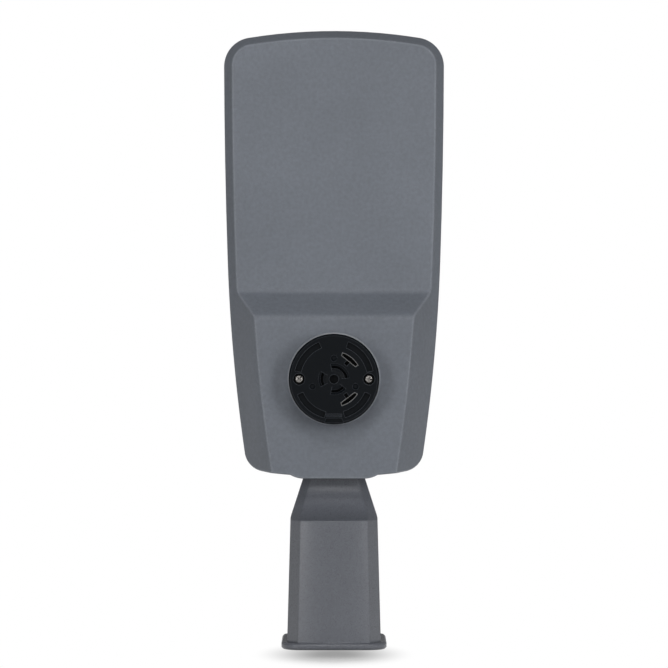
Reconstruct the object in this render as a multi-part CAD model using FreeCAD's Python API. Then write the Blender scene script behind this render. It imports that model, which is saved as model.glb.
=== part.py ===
# LED street light head: a slim cast housing with a raised gear bay, a twist-lock control socket on its
# back, a glass light window and gear cover on its lit side, and a pole spigot that tilts on two bolts.
# Frame: millimetres, +Z along the pole's axis towards the head, -Y towards the head's back, +Y towards
# the lit side. The origin is the centre of the spigot's mouth, on the flange's lower face.
import FreeCAD
import Part

import os
from math import atan2, cos, degrees, pi, radians, sin, sqrt, tan

V = FreeCAD.Vector
X_AXIS = V(1, 0, 0)
Y_AXIS = V(0, 1, 0)
Z_AXIS = V(0, 0, 1)
SIDES = (-1, 1)
FIT = 0.3  # running gap between pieces that only lie beside each other
FAR = 400.0  # reach of cutting blocks past the part
OVERSHOOT = 0.5  # how far a cutting or trimming shape runs past the face it meets

# Pole spigot
POLE_BORE_RADIUS = 30.25
POLE_BORE_DEPTH = 75.0
SLEEVE_LENGTH = 94.5
SLEEVE_MOUTH_HALF = 34.7
SLEEVE_DRAFT = 0.0265
SLEEVE_FRONT_SHARE = 0.77  # of the half width, that the bowed front takes
SLEEVE_FACET = 11.0
SLEEVE_BOW = 2.6
FLANGE_HALF = 38.8
FLANGE_THICK = 5.0
FLANGE_CORNER = 14.0
FLANGE_EDGE = 1.2
NECK_REACH = 49.0  # shoulder to tilt axis
NECK_STRAIGHT = 16.0  # tilt axis down to where the neck starts to widen
NECK_FLARE_RISE = 1.4  # shoulder up to where the flanks start to lean
NECK_HALF_DEPTH = 13.0
NECK_BOW = 0.8
NECK_FACET_WIDE = 6.0
NECK_FACET_DEEP = 5.0
NECK_SCOOP_SHARE = 0.86  # of the widening, that the scooped front and back take
NECK_SCOOP_PAST = 0.6  # of the way to level, that the scoop runs on past the shoulder
NECK_SECTIONS = 8
CABLE_WAY_HALF_WIDTH = 13.0
CABLE_WAY_HALF_DEPTH = 8.5
CABLE_WAY_ROUND = 4.0
BORE_STOP = 4.0
SET_SCREW_HEIGHTS = (22.0, 54.0)
SET_BOSS_RADIUS = 8.5
SET_BOSS_REACH = 39.8
SET_SCREW_LENGTH = 12.0
SET_SCREW_RADIUS = 4.0
SET_SCREW_FLATS = 4.0
SET_SCREW_SOCKET = 4.0
SET_SCREW_STANDOFF = 0.3

# Tilt joint
KNUCKLE_RADIUS = 14.0
CHEEK_HALF_SPAN = 22.0
SERRATION_TEETH = 24
SERRATION_INNER = 7.0
SERRATION_OUTER = 13.0
SERRATION_HALF_HEIGHT = 0.9
SERRATION_SINK = 0.3
SERRATION_SHARE = 0.92  # of the pitch, that a ridge's foot takes
LUG_GAP = 0.25  # between the crests of facing serrations, with the bolts loosened
LUG_THICK = 6.0
LUG_RADIUS = 15.5
TILT_BOLT_RADIUS = 4.0
TILT_BOLT_CLEARANCE = 0.1
TILT_HEAD_RADIUS = 6.5
TILT_HEAD_LENGTH = 8.0
TILT_SOCKET_FLATS = 6.0
TILT_WASHER_RADIUS = 8.0
TILT_WASHER_THICK = 1.6
WASHER_GAP = 0.15  # with the bolts loosened
BOLT_END_GAP = 0.5

# Head outline, seen from the back
TAIL_DROP = 16.5  # tilt axis to the head's lower end
HEAD_LENGTH = 331.0
HEAD_HALF_WIDTH = 82.3
BOW_RADIUS = 400.0
UPPER_SIDE_RADIUS = 4800.0
LOWER_SIDE_RADIUS = 1300.0
SIDE_UPRIGHT = 321.0  # above the lower end, where the sides run straight up
SIDE_BLEND = 159.0  # above the lower end, where the two side arcs meet
TOP_CORNER = 22.0
END_CORNER = 15.0

# Head section, along Y
RIM_Y = 16.0
PLATE_THICK = 3.0
SLIM_Y = -14.0
PLATEAU_Y = -36.0
WALL = 3.5
SIDE_DRAFT = 0.0175
CHAMFER_LEAN = 0.5545  # sideways run for each unit of height
CHAMFER_START = -2.6
RAMP_TOP = 136.0  # above the lower end, where the ramp meets the slim back
RAMP_FOOT = 118.0  # above the lower end, where the ramp meets the plateau
RAMP_EASE = 7.0
CREST_EDGE = 1.6
SHARP_CORNER = 1.0  # least radius left on an inset outline's corner

# Tail pocket round the tilt joint
POCKET_DEPTH = 45.0
MOUTH_HALF_WIDTH = 33.5
BROW_HALF_WIDTH = 32.4
BROW_FLAT_HALF = 22.0
BROW_THICK = 6.0
BROW_DROP = 1.4
BROW_CORNER = 20.0
END_EDGE = 1.2

# Gear bay
SEAM = 143.0  # above the lower end, where gear cover and window frame meet
GEAR_END_WALL = 4.0
PARTITION_HALF = 3.5
SCREW_RADIUS = 1.9
SCREW_PLAY = 0.15
SCREW_TIP_GAP = 0.5
SCREW_FLATS = 3.0
SCREW_HEAD_RADIUS = 3.6
SCREW_HEAD_HEIGHT = 2.4
SCREW_LENGTH = 11.0
BOSS_RADIUS = 4.6
BOSS_INSET = 7.6
COVER_SCREWS = (54.0, 92.0, 135.0)  # above the lower end
COVER_DISH_INSET = 14.0
COVER_DISH_DEPTH = 0.8
PLATE_EDGE = 0.6
COVER_RIBS = (14.0, 46.0)  # above the pocket's end wall
COVER_RIB_REACH = 48.0
COVER_RIB_HEIGHT = 4.0
COVER_RIB_THICK = 2.0
SEAL_WIDTH = 2.0
SEAL_INSET = 0.8
SEAL_DEPTH = 1.5

# Light bay
GLASS_INSET = 12.0
GLASS_THICK = 4.0
GLASS_SEAL = 1.5
LEDGE_INNER = 15.5
MOAT_OUTER = 3.5
MOAT_INNER = 10.0
MOAT_FLOOR = -2.0
BACK_THICK = 4.0
FRAME_OPENING = 15.0
FRAME_LIP = 0.3
BAY_CORNER = 8.0
FRAME_SIDE_SCREWS = (170.0, 222.0, 274.0)  # above the lower end
FRAME_TOP_SCREW_X = 38.0
FRAME_SEAM_SCREW_X = 42.0
BOARD_THICK = 1.6
BOARD_SIDE_ROOM = 21.3  # head's outline to the boards' outer edges
BOARD_LENGTH = 148.0
BOARD_GAP = 4.0
BOARD_MARGIN = 3.5
LED_COLUMNS = 2
LED_ROWS = 7
LED_SIZE = 5.0
LED_HEIGHT = 0.9
LENS_PITCH_Z = 20.0
LENS_RIM = 2.0
LENS_WIDTH = 15.5
LENS_RISE = 5.0
LENS_PLATE_THICK = 2.0
LENS_AIR = 1.3
LENS_SKIRT = 1.5
LENS_CORNER = 4.5
LENS_LEVELS = ((-0.1, 1.0, 1.0), (0.6, 0.86, 0.8), (1.0, 0.6, 0.45))  # shares of rise, length and width
LENS_POST_RADIUS = 2.6
LENS_SCREW_STEPS = (-2.5, -0.5, 0.5, 2.5)  # in lens pitches from the board's middle
BOARD_SCREW_RADIUS = 1.4
BOARD_SCREW_HEAD = 2.7
BOARD_SCREW_HEAD_HEIGHT = 1.6
BOARD_SCREW_BITE = 2.4
BOARD_SCREW_FLATS = 2.2

# Control socket
SOCKET_HEIGHT = 72.0  # above the lower end
SOCKET_RADIUS = 33.0
SOCKET_DEPTH = 16.5
SOCKET_PAD_RADIUS = 34.2
SOCKET_PAD_HEIGHT = 2.5
SOCKET_PAD_EDGE = 0.8
SOCKET_SEAL_PROUD = 0.6
SOCKET_SEAL_THICK = 1.0
SOCKET_EDGE = 1.4
SOCKET_REAR_RADIUS = 20.0
SOCKET_REAR_DEPTH = 23.0
SOCKET_REAR_EDGE = 2.0
SOCKET_SCREW_SPREAD = 25.4
SOCKET_SCREW_RECESS = 4.2
SOCKET_SCREW_SINK = 4.5
SOCKET_SCREW_HEAD = 3.2
SOCKET_SCREW_HEAD_HEIGHT = 2.4
SOCKET_SCREW_HEAD_EDGE = 0.9
SOCKET_SCREW_PAD_RADIUS = 4.3
SOCKET_SCREW_PAD_REACH = 9.0
SOCKET_SCREW_BITE = 8.0
CROSS_REACH = 1.9
CROSS_HALF = 0.45
CROSS_DEPTH = 1.2
CHANNEL_INNER = 24.4
CHANNEL_OUTER = 29.0
CHANNEL_DEPTH = 3.0
CHANNEL_SPANS = ((12.0, 69.0), (112.0, 168.0), (203.0, 256.0), (286.0, 337.0))
KEY_HALF_WIDTH = 6.9
KEY_TOP_HALF_WIDTH = 5.6
KEY_DEPTH = 2.2
KEY_RIM = 1.3
KEY_RIB_SPAN = 4.0
KEY_RIBS = 2
KEY_RIB_THICK = 0.5
HUB_RADIUS = 7.8
HUB_HOLE_RADIUS = 3.4
HUB_HOLE_DEPTH = 6.0
HUB_SLOT_OUTER = 9.8
HUB_SLOT_DEPTH = 8.0
HUB_SLOTS = ((5.0, 103.0), (150.0, 210.0), (257.0, 320.0))
HUB_STEP_INNER = 5.3
HUB_STEP_OUTER = 11.4
HUB_STEP_DEPTH = 1.1
CONTACT_OUTER = 20.3
CONTACT_CHORD = 16.6  # from the centre to each blade slot's straight side
CONTACT_SLOT_DEPTH = 11.0
CONTACT_SPANS = ((29.5, 72.5), (286.0, 328.0))
CONTACT_NOTCH_INNER = 13.2
CONTACT_NOTCH_WIDTH = 2.7
CONTACT_SHEET = 0.4
DIMPLES = ((15.2, 90.0), (16.6, 199.0), (16.6, 341.0))
DIMPLE_RADIUS = 2.3
DIMPLE_FLOOR_RADIUS = 1.3
DIMPLE_DEPTH = 0.9

# Gear inside the housing
DRIVER_SIDE_ROOM = 17.3  # head's outline to the driver's ears
DRIVER_WIDTH = 36.0
DRIVER_HEIGHT = 20.0
DRIVER_EAR = 9.0
DRIVER_EAR_THICK = 2.0
DRIVER_SEAT_Y = -9.0
DRIVER_EDGE = 2.0
DRIVER_EAR_HALF = 9.0
DRIVER_RAIL_REACH = 10.0
RAIL_HALF = 4.5
GEAR_SCREW_BITE = 8.0
DRIVER_TOP = 137.0  # above the lower end
ARRESTER_DEEP = 24.0
ARRESTER_LONG = 36.0
TERMINAL_DEEP = 18.0
TERMINAL_LONG = 34.0
TERMINAL_WAYS = 3
TERMINAL_HOLE = 2.4
TERMINAL_HOLE_DEPTH = 7.0
TERMINAL_SCREW_LENGTH = 5.0
TERMINAL_SLOT = 0.8
TERMINAL_WIRE = 1.8
TERMINAL_WIRE_DEPTH = 6.0
TERMINAL_WIRE_Y = 6.0
GEAR_FOOT = 8.5
GEAR_FOOT_THICK = 2.5
GEAR_PAD = 3.0
GEAR_PAD_BITE = 4.5
GEAR_HEIGHT = 71.0  # above the lower end
GEAR_SIDE_ROOM = 32.3  # head's outline to the blocks beside the socket
GROMMET_RADIUS = 9.0
GROMMET_WAIST_RADIUS = 6.5
GROMMET_LIP = 1.6
GROMMET_NOSE = 5.0
GROMMET_NOSE_RADIUS = 3.5
GROMMET_SKIN = 1.2
GROMMET_Y = -6.0
VENT_RADIUS = 8.5
VENT_STEM_RADIUS = 6.0
VENT_HEIGHT = 4.0
VENT_EDGE = 0.8
VENT_SLOTS = 8
VENT_SLOT_DEPTH = 1.6
VENT_SLOT_HALF = 0.9
VENT_SLOT_LOW = 0.8
VENT_SLOT_HIGH = 1.8
VENT_STEM_REACH = 6.0
VENT_NUT_FLATS = 15.0
VENT_NUT_HEIGHT = 3.0
VENT_X = 34.0
VENT_HEIGHT_ON_COVER = 70.0  # above the lower end
EARTH_X = 22.0
EARTH_UP = 9.0  # above the pocket's end wall
EARTH_BITE = 6.0
EARTH_PAD = 5.0
EARTH_PAD_RADIUS = 5.0

# Places that follow from the sizes above
PIVOT_Z = SLEEVE_LENGTH + NECK_REACH
NECK_TOP = PIVOT_Z - NECK_STRAIGHT
SHOULDER_HALF = SLEEVE_MOUTH_HALF - SLEEVE_DRAFT * SLEEVE_LENGTH
NECK_LEAN = (SHOULDER_HALF - CHEEK_HALF_SPAN) / (NECK_TOP - SLEEVE_LENGTH - NECK_FLARE_RISE)
SCOOP_RISE = NECK_SCOOP_SHARE * (NECK_TOP - SLEEVE_LENGTH)
SCOOP_LEVEL = SLEEVE_LENGTH + SCOOP_RISE
SCOOP_ANGLE = 2 * atan2(SHOULDER_HALF - NECK_HALF_DEPTH, SCOOP_RISE)
SCOOP_RADIUS = SCOOP_RISE / sin(SCOOP_ANGLE)
SCOOP_FOOT_ANGLE = SCOOP_ANGLE + NECK_SCOOP_PAST * (pi / 2 - SCOOP_ANGLE)
SHOULDER_FOOT = SCOOP_LEVEL - SCOOP_RADIUS * sin(SCOOP_FOOT_ANGLE)
HEAD_END = PIVOT_Z - TAIL_DROP
HEAD_TOP = HEAD_END + HEAD_LENGTH
SEAT_Y = RIM_Y - PLATE_THICK
POCKET_TOP = HEAD_END + POCKET_DEPTH
SEAM_Z = HEAD_END + SEAM
LIGHT_FLOOR_Y = SLIM_Y + BACK_THICK
GLASS_TOP_Y = SEAT_Y - FRAME_LIP
LEDGE_Y = GLASS_TOP_Y - GLASS_THICK - GLASS_SEAL
SOCKET_Z = HEAD_END + SOCKET_HEIGHT
SOCKET_SEAT_Y = PLATEAU_Y - SOCKET_PAD_HEIGHT
SOCKET_BASE_Y = SOCKET_SEAT_Y - SOCKET_SEAL_THICK
SOCKET_FACE_Y = SOCKET_BASE_Y - SOCKET_DEPTH
CHEEK_PITCH = CHEEK_HALF_SPAN + SERRATION_HALF_HEIGHT
LUG_PITCH = CHEEK_PITCH + 2 * SERRATION_HALF_HEIGHT + LUG_GAP
LUG_INNER = LUG_PITCH + SERRATION_HALF_HEIGHT
LUG_OUTER = LUG_INNER + LUG_THICK
SOCKET_CENTRE = V(0, SOCKET_BASE_Y, SOCKET_Z)
SOCKET_SCREW_TIP_Y = SOCKET_SEAT_Y + SOCKET_SCREW_BITE
BOARD_WIDTH = HEAD_HALF_WIDTH - BOARD_SIDE_ROOM - BOARD_GAP / 2
LENS_PITCH_X = (BOARD_WIDTH - 2 * BOARD_MARGIN) / LED_COLUMNS
LENS_LENGTH = LENS_PITCH_X - 2 * LENS_RIM
BOARD_X = tuple(side * (BOARD_WIDTH + BOARD_GAP) / 2 for side in SIDES)
BOARD_Z = SEAM_Z + LEDGE_INNER + BOARD_MARGIN + BOARD_LENGTH / 2
BOARD_FACE_Y = LIGHT_FLOOR_Y + BOARD_THICK
DRIVER_Z = HEAD_END + DRIVER_TOP - DRIVER_WIDTH / 2
GEAR_PAD_Y = PLATEAU_Y + WALL + GEAR_PAD
DRIVER_LENGTH = 2 * (HEAD_HALF_WIDTH - DRIVER_SIDE_ROOM - DRIVER_EAR)
GEAR_INNER_X = SOCKET_SCREW_SPREAD + SOCKET_SCREW_PAD_RADIUS + FIT
GEAR_OUTER_X = HEAD_HALF_WIDTH - GEAR_SIDE_ROOM
GEAR_WIDTH = GEAR_OUTER_X - GEAR_INNER_X
GEAR_X = (GEAR_OUTER_X + GEAR_INNER_X) / 2
GEAR_BLOCKS = (
    (-GEAR_X, HEAD_END + GEAR_HEIGHT, (GEAR_WIDTH, ARRESTER_DEEP, ARRESTER_LONG)),
    (GEAR_X, HEAD_END + GEAR_HEIGHT, (GEAR_WIDTH, TERMINAL_DEEP, TERMINAL_LONG)),
)
VENT_PLACE = V(VENT_X, 0, HEAD_END + VENT_HEIGHT_ON_COVER)
EARTH_SEAT = V(EARTH_X, PLATEAU_Y + WALL + EARTH_PAD, POCKET_TOP + GEAR_END_WALL + EARTH_UP)


def block(x0, x1, y0, y1, z0, z1):
    """A box between two corners."""
    return Part.makeBox(x1 - x0, y1 - y0, z1 - z0, V(x0, y0, z0))


def bar(radius, start, end):
    """A round bar from one point to another."""
    return Part.makeCylinder(radius, (end - start).Length, start, end - start)


def tube(outer, inner, start, end):
    """A round bar with a hole right through."""
    return bar(outer, start, end).cut(bar(inner, start, end))


def fused(shapes):
    """All shapes as one solid."""
    shapes = list(shapes)
    return shapes[0].multiFuse(shapes[1:]).removeSplitter() if len(shapes) > 1 else shapes[0]


def mirrored(shape):
    """The shape's twin across the middle plane."""
    return shape.mirror(V(0, 0, 0), X_AXIS)


def polygon_prism(points, along):
    """A prism over a flat polygon."""
    return Part.Face(Part.makePolygon(points + points[:1])).extrude(along)


def touch(centre, radius, toward):
    """The point of a circle that lies towards another point."""
    return centre + (toward - centre).normalize() * radius


def arc_edge(centre, start, end):
    """The short arc about a centre between two points."""
    return Part.Arc(start, touch(centre, (start - centre).Length, (start + end) / 2), end).toShape()


def circles_meet(centre_a, radius_a, centre_b, radius_b):
    """The right-hand crossing of two circles in the XZ plane."""
    along = centre_b - centre_a
    reach = (along.Length**2 + radius_a**2 - radius_b**2) / (2 * along.Length)
    height = sqrt(radius_a**2 - reach**2)
    along.normalize()
    foot = centre_a + along * reach
    across = V(-along.z, 0, along.x)
    return max(foot + across * height, foot - across * height, key=lambda p: p.x)


TOP_CENTRE = V(0, 0, HEAD_TOP - BOW_RADIUS)
UPPER_CENTRE = V(HEAD_HALF_WIDTH - UPPER_SIDE_RADIUS, 0, HEAD_END + SIDE_UPRIGHT)
SIDE_RISE = SIDE_BLEND - SIDE_UPRIGHT
BLEND = UPPER_CENTRE + V(sqrt(UPPER_SIDE_RADIUS**2 - SIDE_RISE**2), 0, SIDE_RISE)
LOWER_CENTRE = BLEND + (UPPER_CENTRE - BLEND) * (LOWER_SIDE_RADIUS / UPPER_SIDE_RADIUS)


def outline_wire(inset, y, end_z=HEAD_END):
    """The head's outline in a plane across Y, moved inwards (or outwards, if negative)."""
    bow = BOW_RADIUS - inset
    end_centre = V(0, 0, end_z + BOW_RADIUS)
    upper = UPPER_SIDE_RADIUS - inset
    lower = LOWER_SIDE_RADIUS - inset
    top_round = max(TOP_CORNER - inset, SHARP_CORNER)
    end_round = max(END_CORNER - inset, SHARP_CORNER)
    top_corner = circles_meet(TOP_CENTRE, bow - top_round, UPPER_CENTRE, upper - top_round)
    end_corner = circles_meet(end_centre, bow - end_round, LOWER_CENTRE, lower - end_round)
    blend = touch(UPPER_CENTRE, upper, BLEND)
    right = [
        (TOP_CENTRE, touch(TOP_CENTRE, bow, top_corner)),
        (top_corner, touch(UPPER_CENTRE, upper, top_corner)),
        (UPPER_CENTRE, blend),
        (LOWER_CENTRE, touch(LOWER_CENTRE, lower, end_corner)),
        (end_corner, touch(end_centre, bow, end_corner)),
    ]
    down = [arc_edge(centre, start[1], end) for start, (centre, end) in zip(right, right[1:])]
    up = [mirrored(edge) for edge in reversed(down)]
    top = arc_edge(TOP_CENTRE, V(-right[0][1].x, 0, right[0][1].z), right[0][1])
    end = arc_edge(end_centre, right[-1][1], V(-right[-1][1].x, 0, right[-1][1].z))
    wire = Part.Wire([top] + down + [end] + up)
    wire.translate(V(0, y, 0))
    return wire


def outline_slab(inset, y0, y1):
    """A straight slab of the inset outline."""
    return Part.Face(outline_wire(inset, y0)).extrude(V(0, y1 - y0, 0))


def half_width(z):
    """Half the head's width at a height."""
    if z > BLEND.z:
        return UPPER_CENTRE.x + sqrt(UPPER_SIDE_RADIUS**2 - (z - UPPER_CENTRE.z) ** 2)
    return LOWER_CENTRE.x + sqrt(LOWER_SIDE_RADIUS**2 - (z - LOWER_CENTRE.z) ** 2)


def roof_block(drop):
    """Everything under the head's back, in side view: slim back, ramp and plateau, sunk by a wall."""
    lean = atan2(SLIM_Y - PLATEAU_Y, RAMP_TOP - RAMP_FOOT)
    slip = drop * tan(lean / 2)
    top = V(-FAR / 2, SLIM_Y + drop, HEAD_END + RAMP_TOP - slip)
    foot = V(-FAR / 2, PLATEAU_Y + drop, HEAD_END + RAMP_FOOT - slip)
    below, above = HEAD_END - FAR / 4, HEAD_TOP + FAR / 4
    points = [
        V(-FAR / 2, RIM_Y, below),
        V(-FAR / 2, RIM_Y, above),
        V(-FAR / 2, top.y, above),
        top,
        foot,
        V(-FAR / 2, foot.y, below),
    ]
    body = polygon_prism(points, V(FAR, 0, 0))
    return body.makeFillet(RAMP_EASE, edges_through(body, (top, foot)))


def edges_through(shape, places):
    """The edges that have one of the places on them."""
    spots = [Part.Vertex(p) for p in places]
    return [e for e in shape.Edges if e.Length > FAR / 2 and any(e.distToShape(s)[0] < 1e-6 for s in spots)]


def crown_loft(wall):
    """The head's leaning sides, above which nothing stands; they run on past the lower end."""
    start = wall * sqrt(1 + CHAMFER_LEAN**2) + SIDE_DRAFT * (RIM_Y - CHAMFER_START)
    low = start - CHAMFER_LEAN * (RIM_Y - CHAMFER_START)
    depth = RIM_Y - PLATEAU_Y - wall + OVERSHOOT
    end_z = HEAD_END - 3 * END_CORNER
    wires = [outline_wire(low, RIM_Y, end_z), outline_wire(low + CHAMFER_LEAN * depth, RIM_Y - depth, end_z)]
    return Part.makeLoft(wires, True, True)


def head_form(wall):
    """The head's outer form, or the form inside a wall of that thickness; its lower end has no draft."""
    depth = RIM_Y - PLATEAU_Y - wall + OVERSHOOT
    draft = SIDE_DRAFT * depth
    belt = [outline_wire(wall, RIM_Y), outline_wire(wall + draft, RIM_Y - depth, HEAD_END - draft)]
    return Part.makeLoft(belt, True, True).common(crown_loft(wall)).common(roof_block(wall))


def sector(centre, inner, outer, start, end, y0, y1):
    """A slice of a ring seen from the back, between two angles in degrees counted from +X towards +Z."""
    def at(radius, angle):
        return V(centre.x + radius * cos(radians(angle)), y0, centre.z + radius * sin(radians(angle)))

    middle = (start + end) / 2
    edges = [
        Part.Arc(at(inner, start), at(inner, middle), at(inner, end)).toShape(),
        Part.LineSegment(at(inner, end), at(outer, end)).toShape(),
        Part.Arc(at(outer, end), at(outer, middle), at(outer, start)).toShape(),
        Part.LineSegment(at(outer, start), at(inner, start)).toShape(),
    ]
    return Part.Face(Part.Wire(edges)).extrude(V(0, y1 - y0, 0))


def hexagon(flats, start, along):
    """A hexagonal bar along X or Y."""
    across = X_AXIS if abs(along.x) < 0.5 * along.Length else Y_AXIS
    corner = flats / 2 / cos(pi / 6)
    points = [
        start + across * (corner * cos(i * pi / 3)) + Z_AXIS * (corner * sin(i * pi / 3)) for i in range(6)
    ]
    return polygon_prism(points, along)


def screw(seat, into, radius, length, head_radius, head_height, flats):
    """A socket-head screw: its seat under the head, and the way it points."""
    head = bar(head_radius, seat, seat - into * head_height)
    socket = hexagon(flats, seat - into * head_height, into * (0.6 * head_height))
    return head.cut(socket).fuse(bar(radius, seat, seat + into * length)).removeSplitter()


def faceted_section(z, wide, deep, facet_wide, facet_deep, bow):
    """An outline at a height, from its half sizes: bowed front and back, corner facets, flat flanks."""
    front = wide - facet_wide
    flank = deep - facet_deep
    edges = []
    for side in SIDES:
        middle = V(0, side * (deep + bow), z)
        corners = [V(-side * front, side * deep, z), V(side * front, side * deep, z),
                   V(side * wide, side * flank, z)]
        edges.append(Part.Arc(corners[0], middle, corners[1]).toShape())
        edges.append(Part.LineSegment(corners[1], corners[2]).toShape())
        edges.append(Part.LineSegment(corners[2], V(side * wide, -side * flank, z)).toShape())
        edges.append(Part.LineSegment(V(side * wide, -side * flank, z),
                                      V(side * front, -side * deep, z)).toShape())
    return Part.Wire(Part.__sortEdges__(edges))


def sleeve_section(z):
    half = SLEEVE_MOUTH_HALF - SLEEVE_DRAFT * z
    return faceted_section(z, half, half, (1 - SLEEVE_FRONT_SHARE) * half, SLEEVE_FACET, SLEEVE_BOW)


def sleeve_form(z0, z1):
    return Part.makeLoft([sleeve_section(z0), sleeve_section(z1)], True, True)


def neck_section(z, deep):
    """The neck's outline at a height, whose facets and bow run from the sleeve's to the neck's own."""
    share = (deep - NECK_HALF_DEPTH) / (SHOULDER_HALF - NECK_HALF_DEPTH)
    shoulder_facet = (1 - SLEEVE_FRONT_SHARE) * SHOULDER_HALF
    return faceted_section(
        z, CHEEK_HALF_SPAN + (NECK_TOP - z) * NECK_LEAN, deep,
        NECK_FACET_WIDE + share * (shoulder_facet - NECK_FACET_WIDE),
        NECK_FACET_DEEP + share * (SLEEVE_FACET - NECK_FACET_DEEP),
        NECK_BOW + share * (SLEEVE_BOW - NECK_BOW))


def neck_solid():
    """The neck between shoulder and tilt axis, scooped front and back, with the knuckle on top."""
    angles = [SCOOP_FOOT_ANGLE * i / (NECK_SECTIONS - 1) for i in reversed(range(NECK_SECTIONS))]
    scoop = Part.makeLoft([
        neck_section(SCOOP_LEVEL - SCOOP_RADIUS * sin(a), NECK_HALF_DEPTH + SCOOP_RADIUS * (1 - cos(a)))
        for a in angles], True)
    top = neck_section(NECK_TOP, NECK_HALF_DEPTH)
    waist = Part.makeLoft([neck_section(SCOOP_LEVEL, NECK_HALF_DEPTH), top], True, True)
    post = Part.Face(top).extrude(Z_AXIS * NECK_STRAIGHT)
    knuckle = bar(KNUCKLE_RADIUS, V(-CHEEK_HALF_SPAN, 0, PIVOT_Z), V(CHEEK_HALF_SPAN, 0, PIVOT_Z))
    return scoop.common(sleeve_form(SHOULDER_FOOT, NECK_TOP)).multiFuse([waist, post, knuckle])


def serration_ring(root_x, way, turn):
    """Radial ridges on a face across the tilt axis, standing out from it in X's direction or against."""
    teeth = []
    step = 2 * pi / SERRATION_TEETH
    crest = root_x + way * 2 * SERRATION_HALF_HEIGHT
    foot = root_x - way * SERRATION_SINK

    def at(radius, angle, x):
        return V(x, radius * cos(angle), PIVOT_Z + radius * sin(angle))

    for i in range(SERRATION_TEETH):
        middle = (i + turn) * step
        wires = []
        for radius in (SERRATION_INNER, SERRATION_OUTER):
            reach = step * SERRATION_SHARE / 2
            points = [at(radius, middle - reach, foot), at(radius, middle + reach, foot),
                      at(radius, middle, crest)]
            wires.append(Part.makePolygon(points + points[:1]))
        teeth.append(Part.makeLoft(wires, True, True))
    return teeth


def pole_spigot():
    sleeve = sleeve_form(0, SHOULDER_FOOT)
    flange = block(-FLANGE_HALF, FLANGE_HALF, -FLANGE_HALF, FLANGE_HALF, 0, FLANGE_THICK)
    flange = flange.makeFillet(FLANGE_CORNER, [e for e in flange.Edges
                                               if e.BoundBox.ZLength > FLANGE_THICK / 2])
    flange = flange.makeChamfer(FLANGE_EDGE, [e for e in flange.Edges if e.BoundBox.ZLength < 0.01])
    bosses = [bar(SET_BOSS_RADIUS, V(0, 0, z), V(0, SET_BOSS_REACH, z)) for z in SET_SCREW_HEIGHTS]
    body = fused([sleeve, flange, neck_solid()] + bosses)
    throat = Part.makeCone(POLE_BORE_RADIUS - BORE_STOP, CABLE_WAY_HALF_DEPTH, SLEEVE_LENGTH - POLE_BORE_DEPTH,
                           V(0, 0, POLE_BORE_DEPTH))
    way = block(
        -CABLE_WAY_HALF_WIDTH, CABLE_WAY_HALF_WIDTH, -CABLE_WAY_HALF_DEPTH, CABLE_WAY_HALF_DEPTH,
        POLE_BORE_DEPTH + 1, PIVOT_Z + 2 * KNUCKLE_RADIUS,
    )
    way = way.makeFillet(CABLE_WAY_ROUND, [e for e in way.Edges if e.BoundBox.ZLength > 1])
    cuts = [bar(POLE_BORE_RADIUS, V(0, 0, 0), V(0, 0, POLE_BORE_DEPTH)), throat, way]
    cuts += [bar(SET_SCREW_RADIUS, V(0, 0, z), V(0, FAR, z)) for z in SET_SCREW_HEIGHTS]
    cuts += [bar(TILT_BOLT_RADIUS, V(0, 0, PIVOT_Z), V(side * FAR, 0, PIVOT_Z)) for side in SIDES]
    body = body.cut(fused(cuts))
    teeth = serration_ring(CHEEK_HALF_SPAN, 1, 0) + serration_ring(-CHEEK_HALF_SPAN, -1, 0)
    return body.multiFuse(teeth)


def pole_set_screws():
    screws = []
    for z in SET_SCREW_HEIGHTS:
        tip = V(0, POLE_BORE_RADIUS + SET_SCREW_STANDOFF, z)
        end = tip + Y_AXIS * SET_SCREW_LENGTH
        socket = hexagon(SET_SCREW_FLATS, end, Y_AXIS * -SET_SCREW_SOCKET)
        screws.append(bar(SET_SCREW_RADIUS, tip, end).cut(socket))
    return Part.makeCompound(screws)


def tilt_bolts():
    bolts = []
    for side in SIDES:
        seat = V(side * (LUG_OUTER + WASHER_GAP + TILT_WASHER_THICK), 0, PIVOT_Z)
        length = abs(seat.x) - CABLE_WAY_HALF_WIDTH - BOLT_END_GAP
        bolts.append(screw(seat, X_AXIS * -side, TILT_BOLT_RADIUS, length, TILT_HEAD_RADIUS, TILT_HEAD_LENGTH,
                           TILT_SOCKET_FLATS))
    return Part.makeCompound(bolts)


def tilt_washers():
    washers = []
    for side in SIDES:
        inner = V(side * (LUG_OUTER + WASHER_GAP), 0, PIVOT_Z)
        washers.append(tube(TILT_WASHER_RADIUS, TILT_BOLT_RADIUS, inner,
                            inner + X_AXIS * side * TILT_WASHER_THICK))
    return Part.makeCompound(washers)


def rim_places(heights, inset=None):
    """Places along both sides of the head, as far in from its outline as the screws stand."""
    inset = BOSS_INSET if inset is None else inset
    return [V(side * (half_width(HEAD_END + h) - inset), 0, HEAD_END + h) for h in heights for side in SIDES]


def cover_screw_places():
    return rim_places(COVER_SCREWS)


def frame_screw_places():
    top_z = TOP_CENTRE.z + sqrt((BOW_RADIUS - BOSS_INSET) ** 2 - FRAME_TOP_SCREW_X**2)
    top = [V(side * FRAME_TOP_SCREW_X, 0, top_z) for side in SIDES]
    seam = [V(side * FRAME_SEAM_SCREW_X, 0, SEAM_Z + BOSS_INSET) for side in SIDES]
    return rim_places(FRAME_SIDE_SCREWS) + top + seam


def at_y(place, y):
    return V(place.x, y, place.z)


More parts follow.
